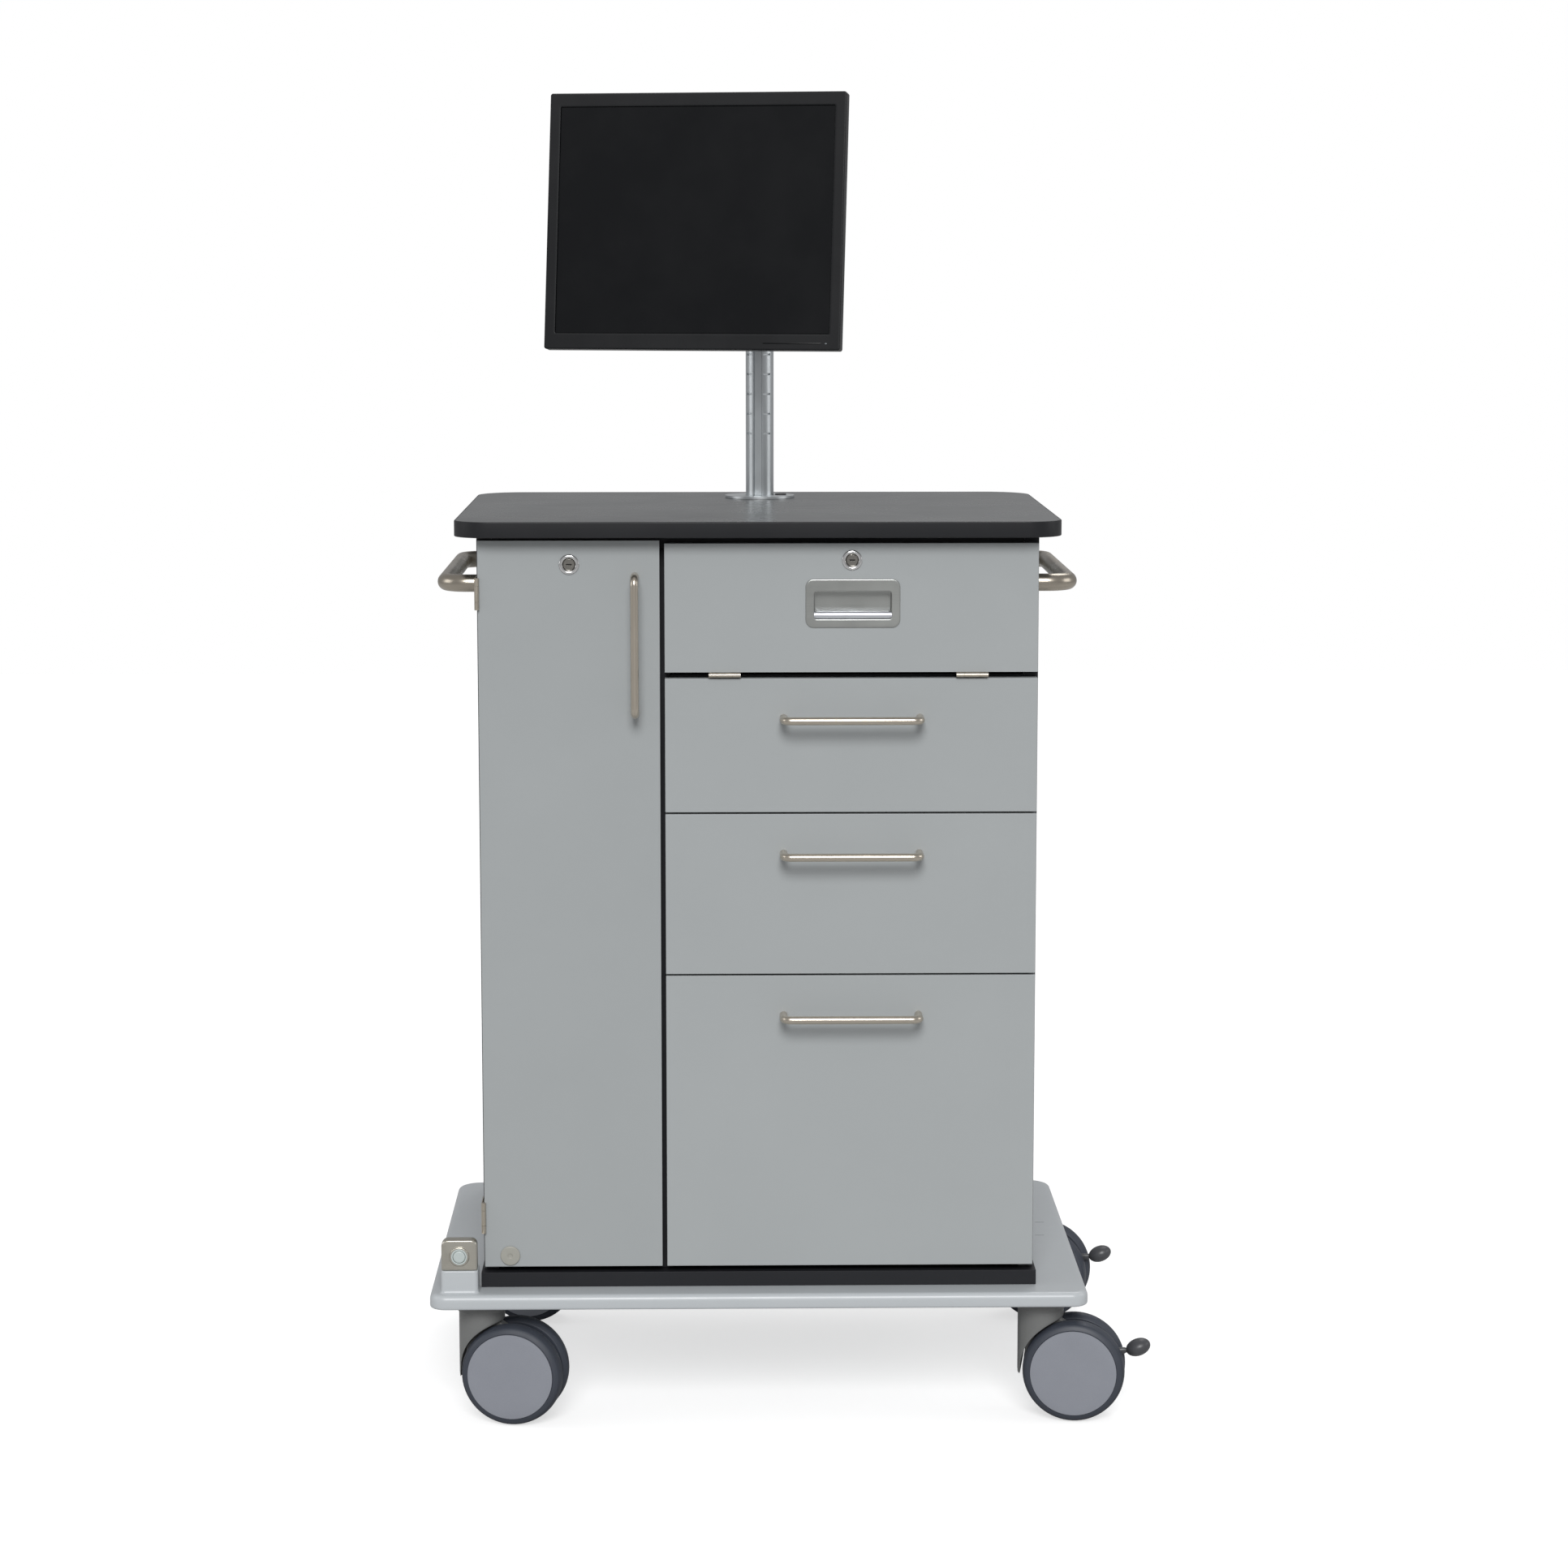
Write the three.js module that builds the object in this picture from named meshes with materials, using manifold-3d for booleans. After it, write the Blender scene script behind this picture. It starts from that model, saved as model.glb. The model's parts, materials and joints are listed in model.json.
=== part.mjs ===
// Hospital medication cart: a board cabinet with a tall cupboard, a drop-down flap and three drawers,
// on a moulded base with four twin-wheel casters, with a monitor on a post behind the worktop.
// Millimetres, +Z up. The front faces -Y. While building, x = 0 is the cabinet's centre plane,
// y = 0 the front face of the doors and drawers, and z = 0 the floor.
import * as THREE from 'three';
import { mergeVertices } from 'three/addons/utils/BufferGeometryUtils.js';
import Module from 'manifold-3d';

const wasm = await Module();
wasm.setup();

// Clearances
const seat = 0.3; // between pieces that are screwed or glued face to face
const running = 0.3; // between a shaft and its bore
const revealSide = 2; // side panel showing beside a front

// Base and casters
const baseSideReach = 64; // base edge beyond the cabinet's side
const baseRearReach = 20; // base edge behind the cabinet's back
const baseFrontReach = 40; // base edge ahead of the cabinet's front face
const baseThickness = 18;
const baseFrontCorner = 20;
const baseRearCorner = 30;
const baseEdgeRound = 7;
const wheelDiameter = 125;
const wheelHeadroom = 25; // from the top of a wheel to the underside of the base
const casterInset = 57.5; // swivel axis from the base's side edge
const casterFrontInset = 54;
const casterRearInset = 66;
const casterTrail = 45;
const casterWidth = 70;
const wheelGap = 17; // between the two wheels of a caster
const axleRadius = 5;
const swivelDegrees = { front_left: -10, front_right: -7, rear_left: -12, rear_right: -14 };

// Cabinet
const cabinetWidth = 672;
const cabinetDepth = 510; // front face of the doors to the outside of the back
const cabinetHeight = 915.4; // base top to worktop
const board = 18;
const backThickness = 8;
const frontThickness = 18;
const frontGap = 2; // between a front and the carcass behind it
const floorOverhang = 2.5;
const cupboardWidth = 221.25; // cabinet side to the middle of the divider
const dividerReveal = 5.7; // dark gap between the door and the drawers
const frontsAboveFloor = 7.2;
const doorBelowWorktop = 4.6;
const flapBelowWorktop = 8.3;
const flapHeight = 154;
const upperDrawerHeight = 161.5;
const middleDrawerHeight = 195;
const drawerGap = 2.2;
const railHeight = 16;
const railThickness = 6;
const shelfAboveFloor = 430;
const shelfSetback = 10;

// Drawers and runners
const runnerSpace = 12.7;
const runnerPlate = 2;
const runnerLedge = 8;
const runnerHalfHeight = 8;
const runnerSetback = 4; // behind the carcass's front edge
const runnerPlateDrop = 20; // below the top of the upper drawer
const trayWall = 3;
const trayBelowFrontTop = 42;
const trayAboveFrontBottom = 14;
const trayBackClearance = 30;

// Worktop
const worktopOverhangSide = 26;
const worktopOverhangFront = 25;
const worktopOverhangBack = 27;
const worktopThickness = 19;
const worktopFrontCorner = 42;
const worktopRearCorner = 58;

// Handles, locks and hinges
const pullCentres = 163;
const pullRadius = 4.8;
const pullStandoff = 32;
const pullBend = 9;
const pullDrop = { upper: 47.5, middle: 48, deep: 48.5 };
const pullOffset = 0.5; // from the middle of a drawer front
const doorPullInset = 29.5; // from the door's free edge
const doorPullTop = 42.5; // door top to the upper leg's centre
const handleRadius = 10.5;
const handleProjection = 40;
const handleBend = 28;
const handleSpan = 361;
const handleFront = 46;
const handleBelowWorktop = 59;
const lockRadius = 12.1;
const lockBarrelRadius = 9.6;
const lockPlugRadius = 7;
const lockBelowDoorTop = 28.4;
const lockBelowFlapTop = 19.9;
const doorLockOffset = 0.7; // from the door's centre line
const camLength = 24;
const camWidth = 10;
const camThickness = 2.5;
const hingeLength = 38;
const hingeEndKnuckle = 9.5;
const hingeRadius = 2.8;
const flapHingeGap = 2 * hingeRadius + 1.8; // flap to the drawer below it
const hingePinRadius = 1.3;
const hingeLeaf = 1.1;
const hingeReach = 34; // fixed leaf, back from the pin
const hingeLeafMargin = 2; // moving leaf's edge to the back of its front
const doorHingeOffset = 0.8; // pin outside the door's edge
const hingeUpperDrop = 63.3;
const hingeLowerRise = 61.8;
const flapHingeInset = { left: 71.5, right: 78.5 }; // flap end to the middle of a hinge
const capRadius = 12;
const capInset = 31; // door's hinged edge to the cap's centre
const capRise = 14;
const cupWidth = 113;
const cupHeight = 58;
const cupOpeningWidth = 92;
const cupOpeningHeight = 33;
const cupDepth = 13;
const cupOpeningRise = 10.2; // foot of the face plate to the opening
const cupWall = 1.2;
const cupLipRadius = 4.8;
const cupOffset = 1; // from the lock's centre line
const cupBelowFlapTop = 71.6;

// Push button on its riser
const riserWidth = 45;
const riserDepth = 34;
const riserHeight = 28;
const riserFromCabinet = 27.5; // cabinet side to the riser's middle
const riserSetback = 12; // from the base's front edge
const riserMargin = 0.8; // riser showing round the cover
const coverHeight = 38;
const coverDepth = 16;
const coverCorner = 8;
const buttonDepth = 12; // bore behind the cover's face
const buttonRadius = 7.4;
const buttonBezelRadius = 12.2;
const buttonProud = 3;
const buttonTravel = 2.5;

// Post, arm and monitor
const postRadius = 18;
const postCorners = 24;
const postOffset = 7;
const postFromBack = 86; // from the cabinet's back
const postHeight = 400; // above the worktop
const notchPitch = 25.4;
const notchFirst = 82; // above the worktop
const flangeRadius = 45;
const flangeThickness = 3;
const collarWall = 8;
const armLength = 77.2;
const armSwing = -54.3;
const armHeight = 315; // worktop to the underside of the arm
const armThickness = 20;
const headSwing = -13.2;
const headReach = 17;
const monitorWidth = 380;
const monitorHeight = 321;
const monitorRim = 20;
const monitorDepth = 55;
const monitorReach = 75; // tilt axis to the screen side
const monitorTilt = -7.6;
const bezelSide = 13.8;
const bezelTop = 17;
const bezelBottom = 20;
const screenRecess = 1.5;

// Places worked out from the sizes above
const wheelRadius = wheelDiameter / 2;
const baseBottom = wheelDiameter + wheelHeadroom;
const baseTop = baseBottom + baseThickness;
const baseHalfWidth = cabinetWidth / 2 + baseSideReach;
const baseFront = -baseFrontReach;
const baseBack = cabinetDepth + baseRearReach;
const carcassFront = frontThickness + frontGap;
const carcassBack = cabinetDepth - backThickness;
const floorBottom = baseTop + seat;
const floorTop = floorBottom + board;
const worktopBottom = baseTop + cabinetHeight + 2 * seat;
const worktopTop = worktopBottom + worktopThickness;
const carcassTop = worktopBottom - seat;
const cabinetSide = cabinetWidth / 2;
const sideInner = cabinetSide - board;
const dividerX = cupboardWidth - cabinetSide;
const dividerRight = dividerX + board / 2;
const dividerLeft = dividerX - board / 2;
const doorLeft = -cabinetSide + revealSide;
const doorRight = dividerX - dividerReveal / 2;
const doorBottom = floorTop + frontsAboveFloor;
const doorTop = worktopBottom - doorBelowWorktop;
const drawerLeft = dividerX + dividerReveal / 2;
const drawerRight = cabinetSide - revealSide;
const drawerMiddle = (drawerLeft + drawerRight) / 2;
const flapTop = worktopBottom - flapBelowWorktop;
const flapBottom = flapTop - flapHeight;
const upperTop = flapBottom - flapHingeGap;
const middleTop = upperTop - upperDrawerHeight - drawerGap;
const deepTop = middleTop - middleDrawerHeight - drawerGap;
const drawers = [
  { name: 'upper', top: upperTop, bottom: upperTop - upperDrawerHeight },
  { name: 'middle', top: middleTop, bottom: middleTop - middleDrawerHeight },
  { name: 'deep', top: deepTop, bottom: doorBottom },
];
const flapHingeZ = flapBottom - seat - hingeRadius;
const hingeY = -seat - hingeRadius;
const shelfTop = flapHingeZ - hingeLeaf - seat;
const railBottom = carcassTop - railHeight;
const camY = carcassFront + railThickness + 2;
const postY = cabinetDepth - postFromBack;
const trayBack = carcassBack - trayBackClearance;
const doorHingeX = doorLeft - doorHingeOffset;
const flapLockX = drawerMiddle + pullOffset;

// Finishes
function finish(color, roughness, metalness) {
  return new THREE.MeshStandardMaterial({ color, roughness, metalness });
}

const laminate = finish('#a2a6a6', 0.5, 0);
const darkBoard = finish('#232325', 0.6, 0);
const worktopLaminate = finish('#333436', 0.4, 0);
const baseMoulding = finish('#b9bdc0', 0.45, 0);
const brushedSteel = finish('#b8b2aa', 0.35, 0.9);
const polishedSteel = finish('#c1c1c1', 0.2, 1);
const anodised = finish('#8e9396', 0.35, 0.8);
const zincSteel = finish('#a9acae', 0.4, 0.8);
const trayCoat = finish('#c3c6c7', 0.45, 0.1);
const casterPlastic = finish('#6b6a6b', 0.5, 0);
const wheelPlastic = finish('#8b8e95', 0.5, 0);
const darkPlastic = finish('#26272a', 0.45, 0);
const screenGlass = finish('#15161a', 0.3, 0);
const pedalPlastic = finish('#4b4c50', 0.5, 0);
const buttonPlastic = finish('#b7c0be', 0.4, 0);

const cart = new THREE.Group();

function degrees(angle) {
  return THREE.MathUtils.degToRad(angle);
}

// Adds a named piece to a group.
function add(name, geometry, material, parent = cart) {
  const mesh = new THREE.Mesh(geometry, material);
  mesh.name = name;
  parent.add(mesh);
  return mesh;
}

// A rectangular block from its lowest to its highest corner.
function block(low, high) {
  const size = high.map((value, axis) => value - low[axis]);
  const middle = high.map((value, axis) => (value + low[axis]) / 2);
  return new THREE.BoxGeometry(...size).translate(...middle);
}

// Drops normals, joins shared corners and leaves out empty triangles.
function weld(geometry) {
  const bare = geometry.clone();
  bare.deleteAttribute('normal');
  bare.deleteAttribute('uv');
  const merged = mergeVertices(bare, 1e-4);
  const corners = [];
  for (let i = 0; i < merged.index.count; i += 3) {
    const [a, b, c] = [0, 1, 2].map((k) => merged.index.getX(i + k));
    if (a !== b && b !== c && a !== c) corners.push(a, b, c);
  }
  merged.setIndex(corners);
  return merged;
}

function solid(geometry) {
  const welded = weld(geometry);
  const vertProperties = new Float32Array(welded.attributes.position.array);
  const triVerts = new Uint32Array(welded.index.array);
  return new wasm.Manifold(new wasm.Mesh({ numProp: 3, vertProperties, triVerts }));
}

function surface(shape) {
  const mesh = shape.getMesh();
  const geometry = new THREE.BufferGeometry();
  geometry.setAttribute('position', new THREE.BufferAttribute(new Float32Array(mesh.vertProperties), 3));
  geometry.setIndex(Array.from(mesh.triVerts));
  geometry.computeVertexNormals();
  return geometry;
}

function join(...pieces) {
  return surface(pieces.map(solid).reduce((whole, piece) => whole.add(piece)));
}

function cut(piece, ...tools) {
  return surface(tools.map(solid).reduce((whole, tool) => whole.subtract(tool), solid(piece)));
}

function common(piece, other) {
  return surface(solid(piece).intersect(solid(other)));
}

// Outlines are drawn in (x, z) and extruded towards -Y, or in (y, z) and extruded towards +X.
const towardsFront = new THREE.Matrix4().makeBasis(
  new THREE.Vector3(1, 0, 0),
  new THREE.Vector3(0, 0, 1),
  new THREE.Vector3(0, -1, 0),
);
const towardsRight = new THREE.Matrix4().makeBasis(
  new THREE.Vector3(0, 1, 0),
  new THREE.Vector3(0, 0, 1),
  new THREE.Vector3(1, 0, 0),
);

function extrude(outline, depth, curveSegments = 6) {
  return new THREE.ExtrudeGeometry(outline, { depth, curveSegments, bevelEnabled: false });
}

// Extrudes with both rims rounded, keeping the outline as the widest section.
function extrudeRounded(outline, depth, rim, curveSegments = 6, bevelSegments = 3) {
  return new THREE.ExtrudeGeometry(outline, {
    depth: depth - 2 * rim,
    curveSegments,
    bevelThickness: rim,
    bevelSize: rim,
    bevelOffset: -rim,
    bevelSegments,
  }).translate(0, 0, rim);
}

// A rectangle with its own radius at the front (low second value) and rear corners.
function roundedOutline(left, right, low, high, lowRadius, highRadius = lowRadius) {
  const outline = new THREE.Shape();
  outline.moveTo(left + lowRadius, low);
  outline.lineTo(right - lowRadius, low);
  outline.absarc(right - lowRadius, low + lowRadius, lowRadius, -Math.PI / 2, 0);
  outline.lineTo(right, high - highRadius);
  outline.absarc(right - highRadius, high - highRadius, highRadius, 0, Math.PI / 2);
  outline.lineTo(left + highRadius, high);
  outline.absarc(left + highRadius, high - highRadius, highRadius, Math.PI / 2, Math.PI);
  outline.lineTo(left, low + lowRadius);
  outline.absarc(left + lowRadius, low + lowRadius, lowRadius, Math.PI, 1.5 * Math.PI);
  return outline;
}

function rectangle(left, right, low, high) {
  const corners = [
    new THREE.Vector2(left, low),
    new THREE.Vector2(right, low),
    new THREE.Vector2(right, high),
    new THREE.Vector2(left, high),
  ];
  return new THREE.Shape(corners);
}

function facets(x, y, radius, corners) {
  const point = (angle) => new THREE.Vector2(x + radius * Math.cos(angle), y + radius * Math.sin(angle));
  return Array.from({ length: corners }, (_, i) => point((2 * Math.PI * i) / corners));
}

function disc(x, y, radius, corners) {
  return new THREE.Shape(facets(x, y, radius, corners));
}

// A round hole whose flats, not its corners, lie at the radius.
function bore(x, y, radius, corners) {
  return new THREE.Path(facets(x, y, radius / Math.cos(Math.PI / corners), corners).reverse());
}

// A piece turned about the local Y axis from [radius, y] points that start and end on the axis.
function turned(profile, segments = 24) {
  return new THREE.LatheGeometry(profile.map(([radius, y]) => new THREE.Vector2(radius, y)), segments);
}

// A rod bent in one plane: straight runs between rounded corners, with stations only where it turns.
class BentRod extends THREE.Curve {
  constructor(corners, radius, steps) {
    super();
    this.stations = [corners[0]];
    for (let i = 1; i < corners.length - 1; i += 1) {
      const entry = corners[i - 1].clone().sub(corners[i]).setLength(radius).add(corners[i]);
      const exit = corners[i + 1].clone().sub(corners[i]).setLength(radius).add(corners[i]);
      const centre = entry.clone().add(exit).sub(corners[i]);
      for (let step = 0; step <= steps; step += 1) {
        const angle = (step / steps) * (Math.PI / 2);
        const across = entry.clone().sub(centre).multiplyScalar(Math.cos(angle));
        const along = exit.clone().sub(centre).multiplyScalar(Math.sin(angle));
        this.stations.push(centre.clone().add(across).add(along));
      }
    }
    this.stations.push(corners[corners.length - 1]);
  }

  getUtoTmapping(u) {
    return u;
  }

  getPoint(t, target = new THREE.Vector3()) {
    const spans = this.stations.length - 1;
    const place = Math.min(Math.max(t, 0), 1) * spans;
    const span = Math.min(Math.floor(place), spans - 1);
    return target.lerpVectors(this.stations[span], this.stations[span + 1], place - span);
  }
}

// A round bar bent in a U, its feet at +-centres/2 on the first axis and its bow out along the second.
function bentBar(centres, reach, radius, bend, firstAxis, secondAxis, sides, bendSteps) {
  const point = (a, b) => firstAxis.clone().multiplyScalar(a).addScaledVector(secondAxis, b);
  const half = centres / 2;
  const corners = [point(-half, 0), point(-half, reach), point(half, reach), point(half, 0)];
  const path = new BentRod(corners, bend, bendSteps);
  const steps = path.stations.length - 1;
  return new THREE.ExtrudeGeometry(disc(0, 0, radius, sides), { steps, extrudePath: path });
}

const axisX = new THREE.Vector3(1, 0, 0);
const axisY = new THREE.Vector3(0, 1, 0);
const axisZ = new THREE.Vector3(0, 0, 1);
const towardsUser = new THREE.Vector3(0, -1, 0);

// Moulded base with the riser for the push button at its front left corner.
const riserX = -cabinetSide - riserFromCabinet;
const riserFront = baseFront + riserSetback;

function basePlate() {
  const outline = roundedOutline(
    -baseHalfWidth,
    baseHalfWidth,
    baseFront,
    baseBack,
    baseFrontCorner,
    baseRearCorner,
  );
  const plate = extrudeRounded(outline, baseThickness, baseEdgeRound, 4, 2).translate(0, 0, baseBottom);
  const half = riserWidth / 2;
  const riserOutline = roundedOutline(riserX - half, riserX + half, riserFront, riserFront + riserDepth, 5);
  const riser = extrude(riserOutline, riserHeight + baseEdgeRound, 3);
  return join(plate, riser.translate(0, 0, baseTop - baseEdgeRound));
}

// Carcass boards
function carcass() {
  const floorHalf = cabinetSide + floorOverhang;
  add('cabinet_floor', block([-floorHalf, 0, floorBottom], [floorHalf, cabinetDepth, floorTop]), darkBoard);
  const boardBottom = floorTop + seat;
  for (const [side, name] of [[-1, 'side_panel_left'], [1, 'side_panel_right']]) {
    const faces = [side * cabinetSide, side * sideInner].sort((a, b) => a - b);
    const panel = block([faces[0], carcassFront, boardBottom], [faces[1], cabinetDepth, carcassTop]);
    add(name, panel, laminate);
  }
  const backHalf = sideInner - seat;
  add(
    'back_panel',
    block([-backHalf, carcassBack, boardBottom], [backHalf, cabinetDepth, carcassTop]),
    laminate,
  );
  add(
    'front_top_rail',
    block([-backHalf, carcassFront, railBottom], [backHalf, carcassFront + railThickness, carcassTop]),
    darkBoard,
  );
  const behindRail = carcassFront + railThickness + seat;
  const divider = new THREE.Shape([
    new THREE.Vector2(carcassFront, boardBottom),
    new THREE.Vector2(carcassBack - seat, boardBottom),
    new THREE.Vector2(carcassBack - seat, carcassTop),
    new THREE.Vector2(behindRail, carcassTop),
    new THREE.Vector2(behindRail, railBottom - seat),
    new THREE.Vector2(carcassFront, railBottom - seat),
  ]);
  const dividerPanel = extrude(divider, board).applyMatrix4(towardsRight);
  add('divider_panel', dividerPanel, darkBoard).position.x = dividerLeft;
  const laptopShelf = block(
    [dividerRight + seat, carcassFront, shelfTop - board],
    [sideInner - seat, carcassBack - seat, shelfTop],
  );
  add('laptop_shelf', laptopShelf, darkBoard);
  const shelfZ = floorTop + shelfAboveFloor;
  const cupboardShelf = block(
    [-sideInner + seat, carcassFront + shelfSetback, shelfZ],
    [dividerLeft - seat, carcassBack - seat, shelfZ + board],
  );
  add('cupboard_shelf', cupboardShelf, laminate);
}

// Laminate worktop with rounded corners, bored for the post and the cable slot beside it.
const slotOffset = postRadius + 9;
const slotHalfWidth = 4;
const slotHalfLength = 6;
const slotCorner = 3.5;

function cableSlot() {
  return roundedOutline(
    postOffset + slotOffset - slotHalfLength,
    postOffset + slotOffset + slotHalfLength,
    postY - slotHalfWidth,
    postY + slotHalfWidth,
    slotCorner,
  );
}

function worktop() {
  const half = cabinetSide + worktopOverhangSide;
  const back = cabinetDepth + worktopOverhangBack;
  const outline = roundedOutline(
    -half,
    half,
    -worktopOverhangFront,
    back,
    worktopFrontCorner,
    worktopRearCorner,
  );
  outline.holes.push(bore(postOffset, postY, postRadius + running, postCorners));
  outline.holes.push(cableSlot());
  return extrudeRounded(outline, worktopThickness, 1, 4, 1).translate(0, 0, worktopBottom);
}

// Turned steel disc that covers the bore, with the cable slot.
function postFlange() {
  const outline = disc(postOffset, postY, flangeRadius, 32);
  outline.holes.push(bore(postOffset, postY, postRadius + running, postCorners));
  outline.holes.push(cableSlot());
  return extrude(outline, flangeThickness, 3).translate(0, 0, worktopTop + seat);
}

// Extruded post with a channel down the front and rows of height notches on both sides of it.
const channelHalf = 5.5;
const channelDepth = 4;
const notchDepth = 2.5;
const notchHeight = 2.4;
const notchDegrees = 40; // round from the channel
const postTurn = -9; // the channel faces a little to the left
const postHangs = 4; // below the worktop
const postWall = 3;

function post() {
  const bottom = worktopBottom - postHangs;
  const length = worktopTop + postHeight - bottom;
  const bar = extrude(disc(0, 0, postRadius, postCorners), length);
  const front = postRadius - channelDepth;
  const channel = block([-channelHalf, -postRadius - 1, -1], [channelHalf, -front, length + 1]);
  const inside = extrude(disc(0, 0, front - postWall, 12), length - 2 * postWall).translate(0, 0, -1);
  channel.rotateZ(degrees(postTurn));
  const cuts = [channel, inside];
  const count = Math.floor((postHeight - notchFirst) / notchPitch);
  for (let i = 0; i < count; i += 1) {
    const z = worktopTop + notchFirst + i * notchPitch - bottom;
    for (const side of [-1, 1]) {
      const notch = block([-5, -notchDepth, z], [5, notchDepth, z + notchHeight]);
      cuts.push(notch.translate(0, -postRadius, 0).rotateZ(degrees(postTurn + side * notchDegrees)));
    }
  }
  return cut(bar, ...cuts).translate(postOffset, postY, bottom);
}

// Steel tube bent in a flat U, one on each side of the cabinet.
function pushHandles() {
  for (const [side, name] of [[-1, 'push_handle_left'], [1, 'push_handle_right']]) {
    const outwards = axisX.clone().multiplyScalar(side);
    const reach = handleProjection - seat;
    const bar = bentBar(handleSpan, reach, handleRadius, handleBend, axisY, outwards, 10, 5);
    const mesh = add(name, bar, brushedSteel);
    mesh.position.set(
      side * (cabinetSide + seat),
      handleFront + handleSpan / 2,
      worktopBottom - handleBelowWorktop,
    );
  }
}

// Lock: a turned rim and barrel fixed in the front, and a plug with its cam that turns inside it.
const lockHeadProud = 2.2;
const plugProud = 1.4;
const keyHalfWidth = 3.4;
const keyHalfHeight = 0.8;

function lockRim() {
  const bore = lockPlugRadius + running;
  const end = camY - seat - 0.5;
  return turned([
    [bore, -lockHeadProud],
    [bore, end],
    [lockBarrelRadius, end],
    [lockBarrelRadius, -seat],
    [lockRadius, -seat],
    [lockRadius, -1.2],
    [lockRadius - 1, -lockHeadProud],
    [bore, -lockHeadProud],
  ].reverse(), 20);
}

function lockPlug() {
  const plug = turned([
    [0, -plugProud],
    [lockPlugRadius - 0.6, -plugProud],
    [lockPlugRadius, -plugProud + 0.6],
    [lockPlugRadius, camY + camThickness],
    [0, camY + camThickness],
  ], 20);
  const cam = block([-camWidth / 2, camY, -camWidth / 2], [camLength, camY + camThickness, camWidth / 2]);
  const keySlot = block([-keyHalfWidth, -plugProud - 1, -keyHalfHeight], [keyHalfWidth, 3, keyHalfHeight]);
  return cut(join(plug, cam), keySlot);
}

// Round-bar D pull, its bow towards the user, laid flat or upright.
function pull(lengthwise) {
  return bentBar(pullCentres, pullStandoff - seat, pullRadius, pullBend, lengthwise, towardsUser, 8, 3);
}

// Butt hinge along the local Z axis. The fixed leaf carries the end knuckles and the pin, the moving
// leaf the middle knuckle. Leaves are given as [low, high] blocks beside the knuckles.
function hingePair(fixedLeaf, movingLeaf) {
  const half = hingeLength / 2;
  const inner = half - hingeEndKnuckle;
  const knuckle = (from, to, radius) => extrude(disc(0, 0, radius, 12), to - from).translate(0, 0, from);
  const ring = disc(0, 0, hingeRadius, 12);
  ring.holes.push(bore(0, 0, hingePinRadius + running, 12));
  const middle = extrude(ring, 2 * (inner - seat)).translate(0, 0, seat - inner);
  const clear = knuckle(-inner, inner, hingeRadius + seat);
  const fixedPlate = cut(fixedLeaf, clear);
  const fixed = join(
    knuckle(-half, -inner, hingeRadius),
    knuckle(inner, half, hingeRadius),
    knuckle(-half, half, hingePinRadius),
    fixedPlate,
  );
  const ends = [knuckle(-half - 1, -inner, hingeRadius + seat), knuckle(inner, half + 1, hingeRadius + seat)];
  const pinHole = knuckle(-half, half, (hingePinRadius + running) / Math.cos(Math.PI / 12));
  const moving = cut(join(middle, cut(movingLeaf, ...ends)), pinHole);
  return { fixed, moving };
}

// Cupboard door: panel, lock, pull, two butt hinges on its left edge and a screw cover at its foot.
function cupboardDoor() {
  const lockX = (doorLeft + doorRight) / 2 + doorLockOffset;
  const lockZ = doorTop - lockBelowDoorTop;
  const outline = rectangle(doorLeft, doorRight, doorBottom, doorTop);
  outline.holes.push(bore(lockX, lockZ, lockBarrelRadius + seat, 24));
  const panel = extrude(outline, frontThickness).applyMatrix4(towardsFront);
  add('cupboard_door', panel, laminate).position.y = frontThickness;
  add('door_lock_rim', lockRim(), polishedSteel).position.set(lockX, 0, lockZ);
  add('door_lock_plug', lockPlug(), polishedSteel).position.set(lockX, 0, lockZ);
  const pullX = doorRight - doorPullInset;
  const pullZ = doorTop - doorPullTop - pullCentres / 2;
  add('door_pull', pull(axisZ), brushedSteel).position.set(pullX, -seat, pullZ);
  const half = hingeLength / 2;
  const sideGap = doorHingeX - doorLeft;
  const panelGap = doorHingeX + cabinetSide;
  const fixedLeaf = block([-panelGap - seat - hingeLeaf, 0, -half], [-panelGap - seat, hingeReach, half]);
  const movingLeaf = block(
    [-sideGap - seat - hingeLeaf, 0, -half],
    [-sideGap - seat, frontThickness - hingeY - hingeLeafMargin, half],
  );
  const pair = hingePair(fixedLeaf, movingLeaf);
  const levels = { upper: doorTop - hingeUpperDrop, lower: doorBottom + hingeLowerRise };
  for (const [level, z] of Object.entries(levels)) {
    add(`door_hinge_leaf_${level}`, pair.fixed, zincSteel).position.set(doorHingeX, hingeY, z);
    add(`door_hinge_${level}`, pair.moving, zincSteel).position.set(doorHingeX, hingeY, z);
  }
  const cap = turned([
    [0, -2.4],
    [capRadius - 1, -2.2],
    [capRadius, -1.2],
    [capRadius, -seat],
    [0, -seat],
  ], 20);
  add('door_cover_cap', cap, buttonPlastic).position.set(doorLeft + capInset, 0, doorBottom + capRise);
}

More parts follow.
